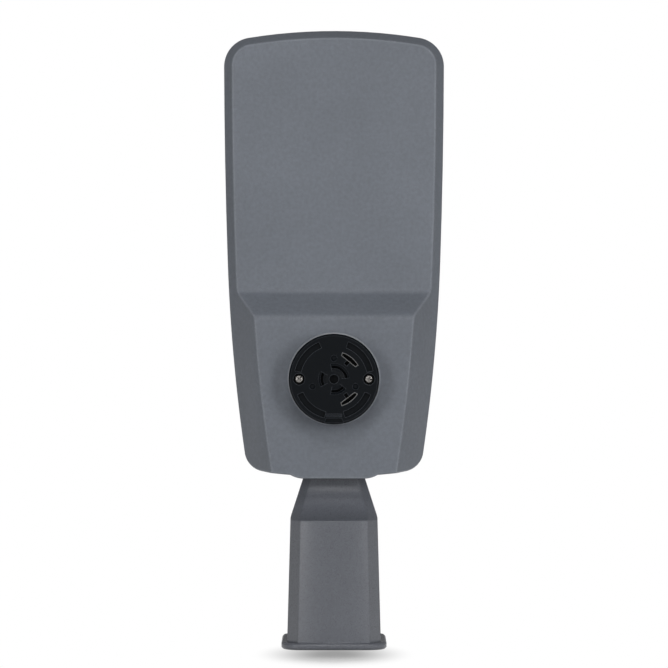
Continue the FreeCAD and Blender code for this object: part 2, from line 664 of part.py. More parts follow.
def bay_slab(inset, y0, y1, seam_inset=None):
    """A slab of the light bay's outline: the head's outline above the seam, inset all round."""
    seam_inset = inset if seam_inset is None else seam_inset
    low = SEAM_Z + seam_inset
    slab = outline_slab(inset, y0, y1).common(block(-FAR, FAR, y0, y1, low, HEAD_TOP + 1))
    reach = half_width(low) - inset
    corners = [
        e for e in slab.Edges
        if e.BoundBox.YLength > abs(y1 - y0) / 2 and e.BoundBox.ZMax < low + 1e-3
    ]
    return slab.makeFillet(BAY_CORNER, corners) if reach > BAY_CORNER else slab


def gear_ring(inset0, inset1, y0, y1):
    """A ring that follows the gear bay's edge between two insets."""
    rings = []
    for inset in (inset0, inset1):
        slab = outline_slab(inset, y0, y1)
        rings.append(slab.common(block(-FAR, FAR, y0, y1, POCKET_TOP + inset, SEAM_Z - inset)))
    return rings[0].cut(rings[1])


def socket_pad():
    """The raised pad that the control socket sits on."""
    centre = V(0, PLATEAU_Y + WALL, SOCKET_Z)
    pad = bar(SOCKET_PAD_RADIUS, centre, at_y(centre, SOCKET_SEAT_Y))
    edge = [e for e in pad.Edges if abs(e.BoundBox.YMin - SOCKET_SEAT_Y) < 1e-6 and e.BoundBox.YLength < 1e-6]
    return pad.makeChamfer(SOCKET_PAD_EDGE, edge)


def lug(side):
    """One of the two ears that the tilt bolts pass."""
    x0, x1 = sorted((side * LUG_INNER, side * LUG_OUTER))
    back = PLATEAU_Y + WALL / 2
    round_end = bar(LUG_RADIUS, V(x0, 0, PIVOT_Z), V(x1, 0, PIVOT_Z))
    web = block(x0, x1, back, SEAT_Y, PIVOT_Z, POCKET_TOP + GEAR_END_WALL / 2)
    foot = block(x0, x1, back, 0, PIVOT_Z - LUG_RADIUS, PIVOT_Z)
    return round_end.multiFuse([web, foot])


def crest_edges(form):
    """The outer form's edges where its back meets its leaning sides."""
    found = []
    for edge in form.Edges:
        middle = edge.valueAt((edge.FirstParameter + edge.LastParameter) / 2)
        box = edge.BoundBox
        along_slim = box.YLength < 1e-3 and abs(box.YMin - SLIM_Y) < 1e-3
        along_plateau = box.YLength < 1e-3 and abs(box.YMin - PLATEAU_Y) < 1e-3
        ramp_side = box.YLength > 1e-3 and PLATEAU_Y - 1 < middle.y < SLIM_Y and box.ZMin > SOCKET_Z
        crossing = abs(middle.x) < 1e-3
        if (along_slim or along_plateau or ramp_side) and not crossing:
            found.append(edge)
        elif crossing and (along_slim and middle.z > SEAM_Z + BAY_CORNER or along_plateau
                           and middle.z < POCKET_TOP):
            found.append(edge)
    return found


def brow():
    """The low lip over the neck, flat in the middle and swept up into the head's end at both sides."""
    low = HEAD_END - BROW_DROP
    sweep = BROW_HALF_WIDTH - BROW_FLAT_HALF
    rise = BROW_CORNER - sqrt(BROW_CORNER**2 - sweep**2)
    flat = V(BROW_FLAT_HALF, PLATEAU_Y, low)
    tip = V(BROW_HALF_WIDTH, PLATEAU_Y, low + rise)
    top = V(BROW_HALF_WIDTH, PLATEAU_Y, HEAD_END + 2 * WALL)
    corner = arc_edge(flat + Z_AXIS * BROW_CORNER, flat, tip)
    side = Part.LineSegment(tip, top).toShape()
    ends = [Part.LineSegment(V(-p.x, p.y, p.z), p).toShape() for p in (flat, top)]
    wire = Part.Wire(Part.__sortEdges__([corner, side, mirrored(corner), mirrored(side)] + ends))
    form = Part.Face(wire).extrude(Y_AXIS * BROW_THICK)
    return form.makeFillet(END_EDGE, [
        e for e in form.Edges if e.BoundBox.YMax < PLATEAU_Y + 1e-3 and e.BoundBox.ZMax < tip.z + 1e-3])


def housing():
    outer = head_form(0)
    outer = outer.makeFillet(CREST_EDGE, crest_edges(outer))
    inner = head_form(WALL)
    light_end = SEAM_Z + PARTITION_HALF
    gear_room = inner.common(
        block(-FAR, FAR, -FAR, FAR, POCKET_TOP + GEAR_END_WALL, SEAM_Z - PARTITION_HALF)
    )
    pocket = inner.common(block(-FAR, FAR, -FAR, FAR, HEAD_END, POCKET_TOP))
    mouth = block(-MOUTH_HALF_WIDTH, MOUTH_HALF_WIDTH, PLATEAU_Y + BROW_THICK, FAR, HEAD_END - WALL,
                  HEAD_END + 2 * WALL)
    light_well = bay_slab(LEDGE_INNER, LIGHT_FLOOR_Y, RIM_Y + 1)
    glass_well = bay_slab(GLASS_INSET, LEDGE_Y, RIM_Y + 1)
    moat = inner.common(bay_slab(MOAT_OUTER, MOAT_FLOOR, RIM_Y + 1)).cut(
        bay_slab(MOAT_INNER, MOAT_FLOOR - 1, RIM_Y + 2)
    )
    bosses = [bar(BOSS_RADIUS, at_y(p, PLATEAU_Y), at_y(p, SEAT_Y)) for p in cover_screw_places()]
    frame_bosses = [bar(BOSS_RADIUS, at_y(p, MOAT_FLOOR - 1), at_y(p, SEAT_Y)) for p in frame_screw_places()]
    seat_relief = block(-FAR, FAR, SEAT_Y, RIM_Y + 5, POCKET_TOP, HEAD_TOP + 5)
    cavity = [gear_room.cut(fused(bosses)), pocket, mouth, light_well, glass_well,
              moat.cut(fused(frame_bosses))]
    body = outer.cut(Part.makeCompound(cavity)).cut(seat_relief)

    lugs = fused([lug(side) for side in SIDES])
    rail_x = DRIVER_LENGTH / 2 + DRIVER_EAR / 2
    rails = [
        block(side * rail_x - RAIL_HALF, side * rail_x + RAIL_HALF, PLATEAU_Y, DRIVER_SEAT_Y,
              DRIVER_Z - DRIVER_RAIL_REACH, DRIVER_Z + DRIVER_RAIL_REACH)
        for side in SIDES
    ]
    gear_pads = [
        block(x - size[0] / 2, x + size[0] / 2, PLATEAU_Y, GEAR_PAD_Y, z - size[2] / 2, z + size[2] / 2)
        for x, z, size in GEAR_BLOCKS
    ]
    earth_pad = bar(EARTH_PAD_RADIUS, at_y(EARTH_SEAT, PLATEAU_Y), EARTH_SEAT)
    inside = fused([lugs, earth_pad] + rails + gear_pads).common(outer)
    screw_pads = [
        bar(SOCKET_SCREW_PAD_RADIUS, V(side * SOCKET_SCREW_SPREAD, PLATEAU_Y + 1, SOCKET_Z),
            V(side * SOCKET_SCREW_SPREAD, PLATEAU_Y + SOCKET_SCREW_PAD_REACH, SOCKET_Z)) for side in SIDES
    ]
    body = body.multiFuse([inside, brow(), socket_pad()] + screw_pads)

    drill = SCREW_RADIUS
    holes = [bar(drill, at_y(p, SEAT_Y - SCREW_LENGTH), at_y(p, RIM_Y)) for p in
             cover_screw_places() + frame_screw_places()]
    holes += [bar(BOARD_SCREW_RADIUS, at_y(p, LIGHT_FLOOR_Y - BOARD_SCREW_BITE), at_y(p, LIGHT_FLOOR_Y + 1))
              for x in BOARD_X for p in lens_screw_places(x)]
    holes += [bar(SCREW_RADIUS, at_y(p, DRIVER_SEAT_Y - GEAR_SCREW_BITE), at_y(p, 0))
              for p in driver_screw_places()]
    holes += [bar(SCREW_RADIUS, at_y(p, GEAR_PAD_Y - GEAR_PAD_BITE), at_y(p, 0)) for p in gear_screw_places()]
    holes += [bar(SCREW_RADIUS, V(side * SOCKET_SCREW_SPREAD, SOCKET_SEAT_Y - 1, SOCKET_Z),
                  V(side * SOCKET_SCREW_SPREAD, SOCKET_SCREW_TIP_Y, SOCKET_Z)) for side in SIDES]
    holes += [bar(TILT_BOLT_RADIUS + TILT_BOLT_CLEARANCE, V(side * (LUG_INNER - 1), 0, PIVOT_Z),
                  V(side * (LUG_OUTER + 1), 0, PIVOT_Z)) for side in SIDES]
    holes.append(bar(SOCKET_REAR_RADIUS + FIT, V(0, PLATEAU_Y - 10, SOCKET_Z),
                     V(0, PLATEAU_Y + WALL + 2, SOCKET_Z)))
    holes.append(bar(GROMMET_WAIST_RADIUS, V(0, GROMMET_Y, POCKET_TOP - 1),
                     V(0, GROMMET_Y, POCKET_TOP + GEAR_END_WALL + 1)))
    holes.append(bar(SCREW_RADIUS, EARTH_SEAT, EARTH_SEAT - Y_AXIS * EARTH_BITE))
    body = body.cut(Part.makeCompound(holes))
    groove = gear_ring(SEAL_INSET, SEAL_INSET + SEAL_WIDTH, SEAT_Y - SEAL_DEPTH, SEAT_Y)
    body = body.cut(groove)
    teeth = serration_ring(LUG_INNER, -1, 0.5) + serration_ring(-LUG_INNER, 1, 0.5)
    return body.multiFuse(teeth)


def plate_blank(z0, z1):
    """A flat plate of the head's outline between two heights, lying on the rim's seat."""
    slab = Part.makeLoft(
        [outline_wire(SIDE_DRAFT * PLATE_THICK, SEAT_Y), outline_wire(0, RIM_Y)], True, True)
    return slab.common(block(-FAR, FAR, SEAT_Y, RIM_Y, z0, z1))


def gear_cover():
    plate = plate_blank(POCKET_TOP + FIT, SEAM_Z - FIT / 2)
    edges = [e for e in plate.Edges if abs(e.BoundBox.YMin - RIM_Y) < 1e-3 and e.BoundBox.YLength < 1e-3]
    plate = plate.makeChamfer(PLATE_EDGE, edges)
    dish = outline_slab(COVER_DISH_INSET, RIM_Y - COVER_DISH_DEPTH, RIM_Y).common(
        block(-FAR, FAR, -FAR, FAR, POCKET_TOP + COVER_DISH_INSET, SEAM_Z - COVER_DISH_INSET))
    ribs = [
        block(-COVER_RIB_REACH, COVER_RIB_REACH, SEAT_Y - COVER_RIB_HEIGHT, SEAT_Y,
              POCKET_TOP + up - COVER_RIB_THICK / 2, POCKET_TOP + up + COVER_RIB_THICK / 2)
        for up in COVER_RIBS
    ]
    holes = [bar(SCREW_RADIUS + SCREW_PLAY, at_y(p, SEAT_Y - 1), at_y(p, RIM_Y + 1))
             for p in cover_screw_places()]
    holes.append(bar(VENT_STEM_RADIUS, at_y(VENT_PLACE, SEAT_Y - 1), at_y(VENT_PLACE, RIM_Y + 1)))
    return plate.cut(dish).multiFuse(ribs).cut(Part.makeCompound(holes))


def gear_cover_gasket():
    return gear_ring(SEAL_INSET, SEAL_INSET + SEAL_WIDTH, SEAT_Y - SEAL_DEPTH, SEAT_Y)


def window_frame():
    plate = plate_blank(SEAM_Z + FIT / 2, HEAD_TOP + 1)
    edges = [e for e in plate.Edges if abs(e.BoundBox.YMin - RIM_Y) < 1e-3 and e.BoundBox.YLength < 1e-3]
    plate = plate.makeChamfer(PLATE_EDGE, edges)
    opening = bay_slab(FRAME_OPENING, SEAT_Y - 1, RIM_Y + 1)
    holes = [bar(SCREW_RADIUS + SCREW_PLAY, at_y(p, SEAT_Y - 1), at_y(p, RIM_Y + 1))
             for p in frame_screw_places()]
    return plate.cut(opening).cut(Part.makeCompound(holes))


def cap_screws(places):
    """Socket screws standing on the plates."""
    return Part.makeCompound([
        screw(at_y(p, RIM_Y), -Y_AXIS, SCREW_RADIUS, SCREW_LENGTH + PLATE_THICK - SCREW_TIP_GAP,
              SCREW_HEAD_RADIUS,
              SCREW_HEAD_HEIGHT, SCREW_FLATS) for p in places])


def window_glass():
    return bay_slab(GLASS_INSET + FIT, LEDGE_Y + GLASS_SEAL, GLASS_TOP_Y)


def glass_gasket():
    ring = bay_slab(GLASS_INSET + FIT, LEDGE_Y, LEDGE_Y + GLASS_SEAL)
    return ring.cut(bay_slab(LEDGE_INNER, LEDGE_Y - 1, LEDGE_Y + GLASS_SEAL + 1))


def lens_places(x):
    """The centres of one board's lenses."""
    columns = [x + (i - (LED_COLUMNS - 1) / 2) * LENS_PITCH_X for i in range(LED_COLUMNS)]
    rows = [BOARD_Z + (i - (LED_ROWS - 1) / 2) * LENS_PITCH_Z for i in range(LED_ROWS)]
    return [V(column, 0, row) for row in rows for column in columns]


def lens_screw_places(x):
    return [V(x, 0, BOARD_Z + step * LENS_PITCH_Z) for step in LENS_SCREW_STEPS]


def led_board(x):
    board = block(x - BOARD_WIDTH / 2, x + BOARD_WIDTH / 2, LIGHT_FLOOR_Y, BOARD_FACE_Y,
                  BOARD_Z - BOARD_LENGTH / 2, BOARD_Z + BOARD_LENGTH / 2)
    holes = [bar(BOARD_SCREW_RADIUS, at_y(p, LIGHT_FLOOR_Y - 1), at_y(p, BOARD_FACE_Y + 1))
             for p in lens_screw_places(x)]
    return board.cut(Part.makeCompound(holes))


def led_emitters(x):
    half = LED_SIZE / 2
    return Part.makeCompound([
        block(p.x - half, p.x + half, BOARD_FACE_Y, BOARD_FACE_Y + LED_HEIGHT, p.z - half, p.z + half)
        for p in lens_places(x)])


def eight_sided(place, y, length, width, cut):
    """A rectangle with cut corners, across Y."""
    points = []
    for sx, sz, first in ((1, 1, True), (-1, 1, False), (-1, -1, True), (1, -1, False)):
        pair = [V(place.x + sx * length / 2, y, place.z + sz * (width / 2 - cut)),
                V(place.x + sx * (length / 2 - cut), y, place.z + sz * width / 2)]
        points += pair if first else pair[::-1]
    return Part.makePolygon(points + points[:1])


def lens_plate(x):
    """One moulded lens plate: a skirted sheet with a long low lens over each light source."""
    base = BOARD_FACE_Y + LENS_AIR
    top = base + LENS_PLATE_THICK
    half_w = BOARD_WIDTH / 2 - BOARD_MARGIN
    half_l = BOARD_LENGTH / 2 - BOARD_MARGIN
    sheet = block(x - half_w, x + half_w, BOARD_FACE_Y, top, BOARD_Z - half_l, BOARD_Z + half_l)
    sheet = sheet.cut(block(x - half_w + LENS_SKIRT, x + half_w - LENS_SKIRT, BOARD_FACE_Y, base,
                            BOARD_Z - half_l + LENS_SKIRT, BOARD_Z + half_l - LENS_SKIRT))
    domes = []
    for p in lens_places(x):
        domes.append(Part.makeLoft([
            eight_sided(p, top + LENS_RISE * rise, LENS_LENGTH * long, LENS_WIDTH * wide, LENS_CORNER * wide)
            for rise, long, wide in LENS_LEVELS], True, True))
    posts = [bar(LENS_POST_RADIUS, at_y(p, BOARD_FACE_Y), at_y(p, top)) for p in lens_screw_places(x)]
    holes = [bar(BOARD_SCREW_RADIUS, at_y(p, BOARD_FACE_Y - 1), at_y(p, top + 1))
             for p in lens_screw_places(x)]
    return sheet.multiFuse(domes + posts).cut(Part.makeCompound(holes))


def lens_plate_screws():
    seat_y = BOARD_FACE_Y + LENS_AIR + LENS_PLATE_THICK
    length = seat_y - LIGHT_FLOOR_Y + BOARD_SCREW_BITE - SCREW_TIP_GAP
    return Part.makeCompound([
        screw(at_y(p, seat_y), -Y_AXIS, BOARD_SCREW_RADIUS, length, BOARD_SCREW_HEAD, BOARD_SCREW_HEAD_HEIGHT,
              BOARD_SCREW_FLATS) for x in BOARD_X for p in lens_screw_places(x)])


def contact_slot(span, shrink, depth):
    """A blade slot of the control socket, curved outside and straight inside, or that within its lining."""
    start, end = span
    trim = degrees(shrink / CONTACT_OUTER)
    outer = sector(SOCKET_CENTRE, CONTACT_CHORD / 2, CONTACT_OUTER - shrink, start + trim, end - trim,
                   SOCKET_FACE_Y, SOCKET_FACE_Y + depth)
    inside = block(0, CONTACT_CHORD + shrink, -FAR, FAR, -FAR, FAR)
    return outer.cut(turned(inside, (start + end) / 2))


def turned(shape, angle):
    """A shape made about the origin, turned from +X towards +Z and set on the control socket's axis."""
    shape.rotate(V(0, 0, 0), Y_AXIS, -angle)
    shape.translate(V(0, 0, SOCKET_Z))
    return shape


def hub_step(start, end, wall, edge):
    """A shallow ledge beside a hub slot, whose floor slopes down from its edge to the slot's wall."""
    def ring(radius, y):
        centre = at_y(SOCKET_CENTRE, y)
        return Part.Circle(centre, Y_AXIS, radius).toShape()

    face, floor = SOCKET_FACE_Y - OVERSHOOT, SOCKET_FACE_Y + HUB_STEP_DEPTH
    low, high = sorted((wall, edge))
    span = sector(SOCKET_CENTRE, low, high, start, end, face, floor)
    slope = Part.makeLoft([Part.Wire(ring(edge, SOCKET_FACE_Y)), Part.Wire(ring(wall, floor))], True, True)
    return span.common(slope) if edge > wall else span.cut(slope)


def socket_body():
    body = bar(SOCKET_RADIUS, at_y(SOCKET_CENTRE, SOCKET_BASE_Y), at_y(SOCKET_CENTRE, SOCKET_FACE_Y))
    rim = [e for e in body.Edges if e.BoundBox.YMax < SOCKET_FACE_Y + 1e-6]
    body = body.makeChamfer(SOCKET_EDGE, rim)
    face = SOCKET_FACE_Y
    cuts = [
        sector(SOCKET_CENTRE, CHANNEL_INNER, CHANNEL_OUTER, a, b, face, face + CHANNEL_DEPTH)
        for a, b in CHANNEL_SPANS
    ]
    for start, end in CONTACT_SPANS:
        cuts.append(contact_slot((start, end), 0, CONTACT_SLOT_DEPTH))
        notch = block(CONTACT_NOTCH_INNER, CONTACT_CHORD + OVERSHOOT, face, face + CONTACT_SLOT_DEPTH / 2,
                      -CONTACT_NOTCH_WIDTH / 2, CONTACT_NOTCH_WIDTH / 2)
        cuts.append(turned(notch, (start + end) / 2))
    for start, end in HUB_SLOTS:
        cuts.append(sector(SOCKET_CENTRE, HUB_RADIUS, HUB_SLOT_OUTER, start, end, face,
                           face + HUB_SLOT_DEPTH))
        cuts.append(hub_step(start, end, HUB_RADIUS, HUB_STEP_INNER))
        cuts.append(hub_step(start, end, HUB_SLOT_OUTER, HUB_STEP_OUTER))
    cuts.append(bar(HUB_HOLE_RADIUS, at_y(SOCKET_CENTRE, face), at_y(SOCKET_CENTRE, face + HUB_HOLE_DEPTH)))
    for radius, angle in DIMPLES:
        spot = V(radius * cos(radians(angle)), face, SOCKET_Z + radius * sin(radians(angle)))
        cuts.append(Part.makeCone(DIMPLE_RADIUS, DIMPLE_FLOOR_RADIUS, DIMPLE_DEPTH, spot, Y_AXIS))
    for side in SIDES:
        spot = V(side * SOCKET_SCREW_SPREAD, face, SOCKET_Z)
        cuts.append(bar(SOCKET_SCREW_RECESS, spot, spot + Y_AXIS * SOCKET_SCREW_SINK))
        cuts.append(bar(SCREW_RADIUS, spot, at_y(spot, SOCKET_BASE_Y + 1)))
    return body.cut(Part.makeCompound(cuts + socket_key()))


def socket_key():
    """The cut that marks the socket's foot: a tapered pocket at the rim with short grooves above it."""
    low, high = SOCKET_Z - SOCKET_RADIUS + KEY_RIM, SOCKET_Z - CHANNEL_INNER
    ledge = high - KEY_RIB_SPAN
    points = [
        V(-KEY_HALF_WIDTH, SOCKET_FACE_Y, low),
        V(KEY_HALF_WIDTH, SOCKET_FACE_Y, low),
        V(KEY_TOP_HALF_WIDTH, SOCKET_FACE_Y, ledge),
        V(-KEY_TOP_HALF_WIDTH, SOCKET_FACE_Y, ledge),
    ]
    pitch = KEY_RIB_SPAN / (KEY_RIBS + 1)
    grooves = [
        block(-KEY_TOP_HALF_WIDTH, KEY_TOP_HALF_WIDTH, SOCKET_FACE_Y, SOCKET_FACE_Y + KEY_DEPTH / 2,
              ledge + pitch * (i + 1), ledge + pitch * (i + 1) + KEY_RIB_THICK)
        for i in range(KEY_RIBS)
    ]
    return [polygon_prism(points, Y_AXIS * KEY_DEPTH)] + grooves


def socket_rear():
    """The socket's inner barrel, which reaches through the housing's back."""
    base = at_y(SOCKET_CENTRE, SOCKET_BASE_Y)
    barrel = bar(SOCKET_REAR_RADIUS, base, base + Y_AXIS * SOCKET_REAR_DEPTH)
    edge = [e for e in barrel.Edges if abs(e.BoundBox.YMin - base.y - SOCKET_REAR_DEPTH) < 1e-6]
    return barrel.makeChamfer(SOCKET_REAR_EDGE, edge)


def socket_gasket():
    base = at_y(SOCKET_CENTRE, SOCKET_BASE_Y)
    ring = tube(SOCKET_RADIUS + SOCKET_SEAL_PROUD, SOCKET_REAR_RADIUS + FIT, base,
                base + Y_AXIS * SOCKET_SEAL_THICK)
    holes = [bar(SCREW_RADIUS, V(side * SOCKET_SCREW_SPREAD, SOCKET_BASE_Y, SOCKET_Z),
                 V(side * SOCKET_SCREW_SPREAD, SOCKET_SEAT_Y, SOCKET_Z)) for side in SIDES]
    return ring.cut(Part.makeCompound(holes))


def socket_screws():
    """Two cross-headed screws, sunk in the socket's face."""
    screws = []
    for side in SIDES:
        seat = V(side * SOCKET_SCREW_SPREAD, SOCKET_FACE_Y + SOCKET_SCREW_SINK, SOCKET_Z)
        head = bar(SOCKET_SCREW_HEAD, seat, seat - Y_AXIS * SOCKET_SCREW_HEAD_HEIGHT)
        top = [e for e in head.Edges if e.BoundBox.YMax < seat.y - SOCKET_SCREW_HEAD_HEIGHT + 1e-6]
        head = head.makeChamfer(SOCKET_SCREW_HEAD_EDGE, top)
        y0 = seat.y - SOCKET_SCREW_HEAD_HEIGHT
        for long, wide in ((CROSS_REACH, CROSS_HALF), (CROSS_HALF, CROSS_REACH)):
            head = head.cut(block(seat.x - long, seat.x + long, y0, y0 + CROSS_DEPTH, seat.z - wide,
                                  seat.z + wide))
        shank = bar(SCREW_RADIUS, seat, at_y(seat, SOCKET_SCREW_TIP_Y - SCREW_TIP_GAP))
        screws.append(head.fuse(shank).removeSplitter())
    return Part.makeCompound(screws)


def socket_contacts():
    """Bent sheet contacts that line the two blade slots."""
    return Part.makeCompound([
        contact_slot(span, 0, CONTACT_SLOT_DEPTH).cut(contact_slot(span, CONTACT_SHEET,
                                                                   CONTACT_SLOT_DEPTH + 1))
        for span in CONTACT_SPANS])


def led_driver():
    half = DRIVER_LENGTH / 2
    low, high = DRIVER_Z - DRIVER_WIDTH / 2, DRIVER_Z + DRIVER_WIDTH / 2
    case = block(-half, half, DRIVER_SEAT_Y, DRIVER_SEAT_Y + DRIVER_HEIGHT, low, high)
    long_edges = [e for e in case.Edges if e.BoundBox.XLength > half and e.BoundBox.YMin > DRIVER_SEAT_Y + 1]
    case = case.makeFillet(DRIVER_EDGE, long_edges)
    ears = block(-half - DRIVER_EAR, half + DRIVER_EAR, DRIVER_SEAT_Y, DRIVER_SEAT_Y + DRIVER_EAR_THICK,
                 DRIVER_Z - DRIVER_EAR_HALF, DRIVER_Z + DRIVER_EAR_HALF)
    holes = [bar(SCREW_RADIUS, at_y(p, DRIVER_SEAT_Y - 1), at_y(p, DRIVER_SEAT_Y + DRIVER_EAR_THICK + 1))
             for p in driver_screw_places()]
    return case.fuse(ears).removeSplitter().cut(Part.makeCompound(holes))


def driver_screw_places():
    reach = DRIVER_LENGTH / 2 + DRIVER_EAR / 2
    return [V(side * reach, 0, DRIVER_Z) for side in SIDES]


def driver_screws():
    seat_y = DRIVER_SEAT_Y + DRIVER_EAR_THICK
    length = DRIVER_EAR_THICK + GEAR_SCREW_BITE - SCREW_TIP_GAP
    return Part.makeCompound([
        screw(at_y(p, seat_y), -Y_AXIS, SCREW_RADIUS, length, SCREW_HEAD_RADIUS, SCREW_HEAD_HEIGHT,
              SCREW_FLATS)
        for p in driver_screw_places()])


def gear_screw_places():
    return [V(x, 0, z + way * (size[2] / 2 - GEAR_FOOT / 2)) for x, z, size in GEAR_BLOCKS for way in SIDES]


def gear_block(index):
    """A moulded block with a low foot at each end for its screws."""
    x, z, (wide, deep, long) = GEAR_BLOCKS[index]
    body = block(x - wide / 2, x + wide / 2, GEAR_PAD_Y, GEAR_PAD_Y + deep, z - long / 2 + GEAR_FOOT,
                 z + long / 2 - GEAR_FOOT)
    feet = block(x - wide / 2, x + wide / 2, GEAR_PAD_Y, GEAR_PAD_Y + GEAR_FOOT_THICK, z - long / 2,
                 z + long / 2)
    return body.fuse(feet).removeSplitter()


def drilled(shape, places, y0, y1):
    return shape.cut(Part.makeCompound([bar(SCREW_RADIUS, at_y(p, y0), at_y(p, y1)) for p in places]))


def surge_arrester():
    body = gear_block(0)
    return drilled(body, gear_screw_places(), GEAR_PAD_Y - 1, GEAR_PAD_Y + GEAR_FOOT_THICK + 1)


def terminal_block():
    """A three-way block with a funnel and a screw for each wire."""
    x, z, (wide, deep, long) = GEAR_BLOCKS[1]
    body = drilled(gear_block(1), gear_screw_places(), GEAR_PAD_Y - 1, GEAR_PAD_Y + GEAR_FOOT_THICK + 1)
    cuts = []
    for spot in terminal_places():
        top = GEAR_PAD_Y + deep
        cuts.append(bar(TERMINAL_HOLE, at_y(spot, top), at_y(spot, top - TERMINAL_HOLE_DEPTH)))
        for side in SIDES:
            mouth = V(x + side * wide / 2, GEAR_PAD_Y + TERMINAL_WIRE_Y, spot.z)
            cuts.append(bar(TERMINAL_WIRE, mouth, mouth - X_AXIS * side * TERMINAL_WIRE_DEPTH))
    return body.cut(Part.makeCompound(cuts))


def terminal_places():
    x, z, size = GEAR_BLOCKS[1]
    pitch = (size[2] - 2 * GEAR_FOOT) / TERMINAL_WAYS
    return [V(x, 0, z + (i - (TERMINAL_WAYS - 1) / 2) * pitch) for i in range(TERMINAL_WAYS)]


def terminal_screws():
    top = GEAR_PAD_Y + GEAR_BLOCKS[1][2][1]
    floor = top - TERMINAL_HOLE_DEPTH
    return Part.makeCompound([
        bar(TERMINAL_HOLE - FIT / 2, at_y(p, floor), at_y(p, floor + TERMINAL_SCREW_LENGTH)).cut(
            block(p.x - TERMINAL_HOLE, p.x + TERMINAL_HOLE, floor + TERMINAL_SCREW_LENGTH - 1,
                  floor + TERMINAL_SCREW_LENGTH, p.z - TERMINAL_SLOT / 2, p.z + TERMINAL_SLOT / 2))
        for p in terminal_places()])


def gear_block_screws():
    seat_y = GEAR_PAD_Y + GEAR_FOOT_THICK
    return Part.makeCompound([
        screw(at_y(p, seat_y), -Y_AXIS, SCREW_RADIUS, GEAR_FOOT_THICK + GEAR_PAD_BITE - SCREW_TIP_GAP,
              SCREW_HEAD_RADIUS, SCREW_HEAD_HEIGHT, SCREW_FLATS) for p in gear_screw_places()])


def cable_grommet():
    """A blind rubber grommet in the pocket's end wall, cut open when the lamp is wired."""
    axis = V(0, GROMMET_Y, 0)
    low, high = POCKET_TOP - GROMMET_LIP, POCKET_TOP + GEAR_END_WALL + GROMMET_LIP
    parts = [
        bar(GROMMET_RADIUS, axis + Z_AXIS * low, axis + Z_AXIS * POCKET_TOP),
        bar(GROMMET_WAIST_RADIUS, axis + Z_AXIS * low, axis + Z_AXIS * high),
        bar(GROMMET_RADIUS, axis + Z_AXIS * (POCKET_TOP + GEAR_END_WALL), axis + Z_AXIS * high),
    ]
    nose = Part.makeCone(GROMMET_WAIST_RADIUS, GROMMET_NOSE_RADIUS, GROMMET_NOSE, axis + Z_AXIS * low,
                         -Z_AXIS)
    room = bar(GROMMET_WAIST_RADIUS - GROMMET_SKIN, axis + Z_AXIS * low, axis + Z_AXIS * (high + 1))
    return fused(parts + [nose]).cut(room)


def vent_plug():
    """A pressure vent screwed through the gear cover."""
    seat = at_y(VENT_PLACE, RIM_Y - COVER_DISH_DEPTH)
    cap = bar(VENT_RADIUS, seat, seat + Y_AXIS * VENT_HEIGHT)
    cap = cap.makeChamfer(VENT_EDGE, [e for e in cap.Edges
                                      if abs(e.BoundBox.YMin - seat.y - VENT_HEIGHT) < 1e-6])
    slots = []
    for i in range(VENT_SLOTS):
        slot = block(-VENT_RADIUS - OVERSHOOT, VENT_SLOT_DEPTH - VENT_RADIUS, VENT_SLOT_LOW, VENT_SLOT_HIGH,
                     -VENT_SLOT_HALF, VENT_SLOT_HALF)
        slot.rotate(V(0, 0, 0), Y_AXIS, i * 360 / VENT_SLOTS)
        slot.translate(seat)
        slots.append(slot)
    stem = bar(VENT_STEM_RADIUS, at_y(VENT_PLACE, SEAT_Y - VENT_STEM_REACH), seat)
    nut = hexagon(VENT_NUT_FLATS, at_y(VENT_PLACE, SEAT_Y), -Y_AXIS * VENT_NUT_HEIGHT)
    return cap.cut(Part.makeCompound(slots)).multiFuse([stem, nut]).removeSplitter()


def earth_screw():
    return screw(EARTH_SEAT, -Y_AXIS, SCREW_RADIUS, EARTH_BITE - SCREW_TIP_GAP, SCREW_HEAD_RADIUS,
                 SCREW_HEAD_HEIGHT,
                 SCREW_FLATS)


PIECES = {
    "pole_spigot": pole_spigot,
    "pole_set_screws": pole_set_screws,
    "tilt_bolts": tilt_bolts,
    "tilt_washers": tilt_washers,
    "housing": housing,
    "gear_cover": gear_cover,
    "gear_cover_gasket": gear_cover_gasket,
    "gear_cover_screws": lambda: cap_screws(cover_screw_places()),
    "window_frame": window_frame,
    "window_frame_screws": lambda: cap_screws(frame_screw_places()),
    "window_glass": window_glass,
    "glass_gasket": glass_gasket,
    "led_board_left": lambda: led_board(BOARD_X[0]),
    "led_board_right": lambda: led_board(BOARD_X[1]),
    "led_emitters_left": lambda: led_emitters(BOARD_X[0]),
    "led_emitters_right": lambda: led_emitters(BOARD_X[1]),
    "lens_plate_left": lambda: lens_plate(BOARD_X[0]),
    "lens_plate_right": lambda: lens_plate(BOARD_X[1]),
    "lens_plate_screws": lens_plate_screws,
    "socket_body": socket_body,
    "socket_rear": socket_rear,
    "socket_gasket": socket_gasket,
    "socket_screws": socket_screws,
    "socket_contacts": socket_contacts,
    "led_driver": led_driver,
    "driver_screws": driver_screws,
    "surge_arrester": surge_arrester,
    "terminal_block": terminal_block,
    "terminal_screws": terminal_screws,
    "gear_block_screws": gear_block_screws,
    "cable_grommet": cable_grommet,
    "vent_plug": vent_plug,
    "earth_screw": earth_screw,
}


def main():
    os.makedirs("parts", exist_ok=True)
    for name, make in PIECES.items():
        shape = make()
        faults = "" if shape.isValid() else " INVALID"
        volume = shape.Volume / 1000
        print(f"{name}: {len(shape.Solids)} solids, {volume:.1f} cm3, {len(shape.Faces)} faces{faults}")
        shape.exportStep(f"parts/{name}.step")


if __name__ == "__main__":
    main()
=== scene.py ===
"""Looks of the street light head: cast grey shell, black control socket, lit side, tilting spigot."""

import logging
import math
from dataclasses import dataclass, field
from enum import Enum
from typing import Callable, Iterable, Sequence

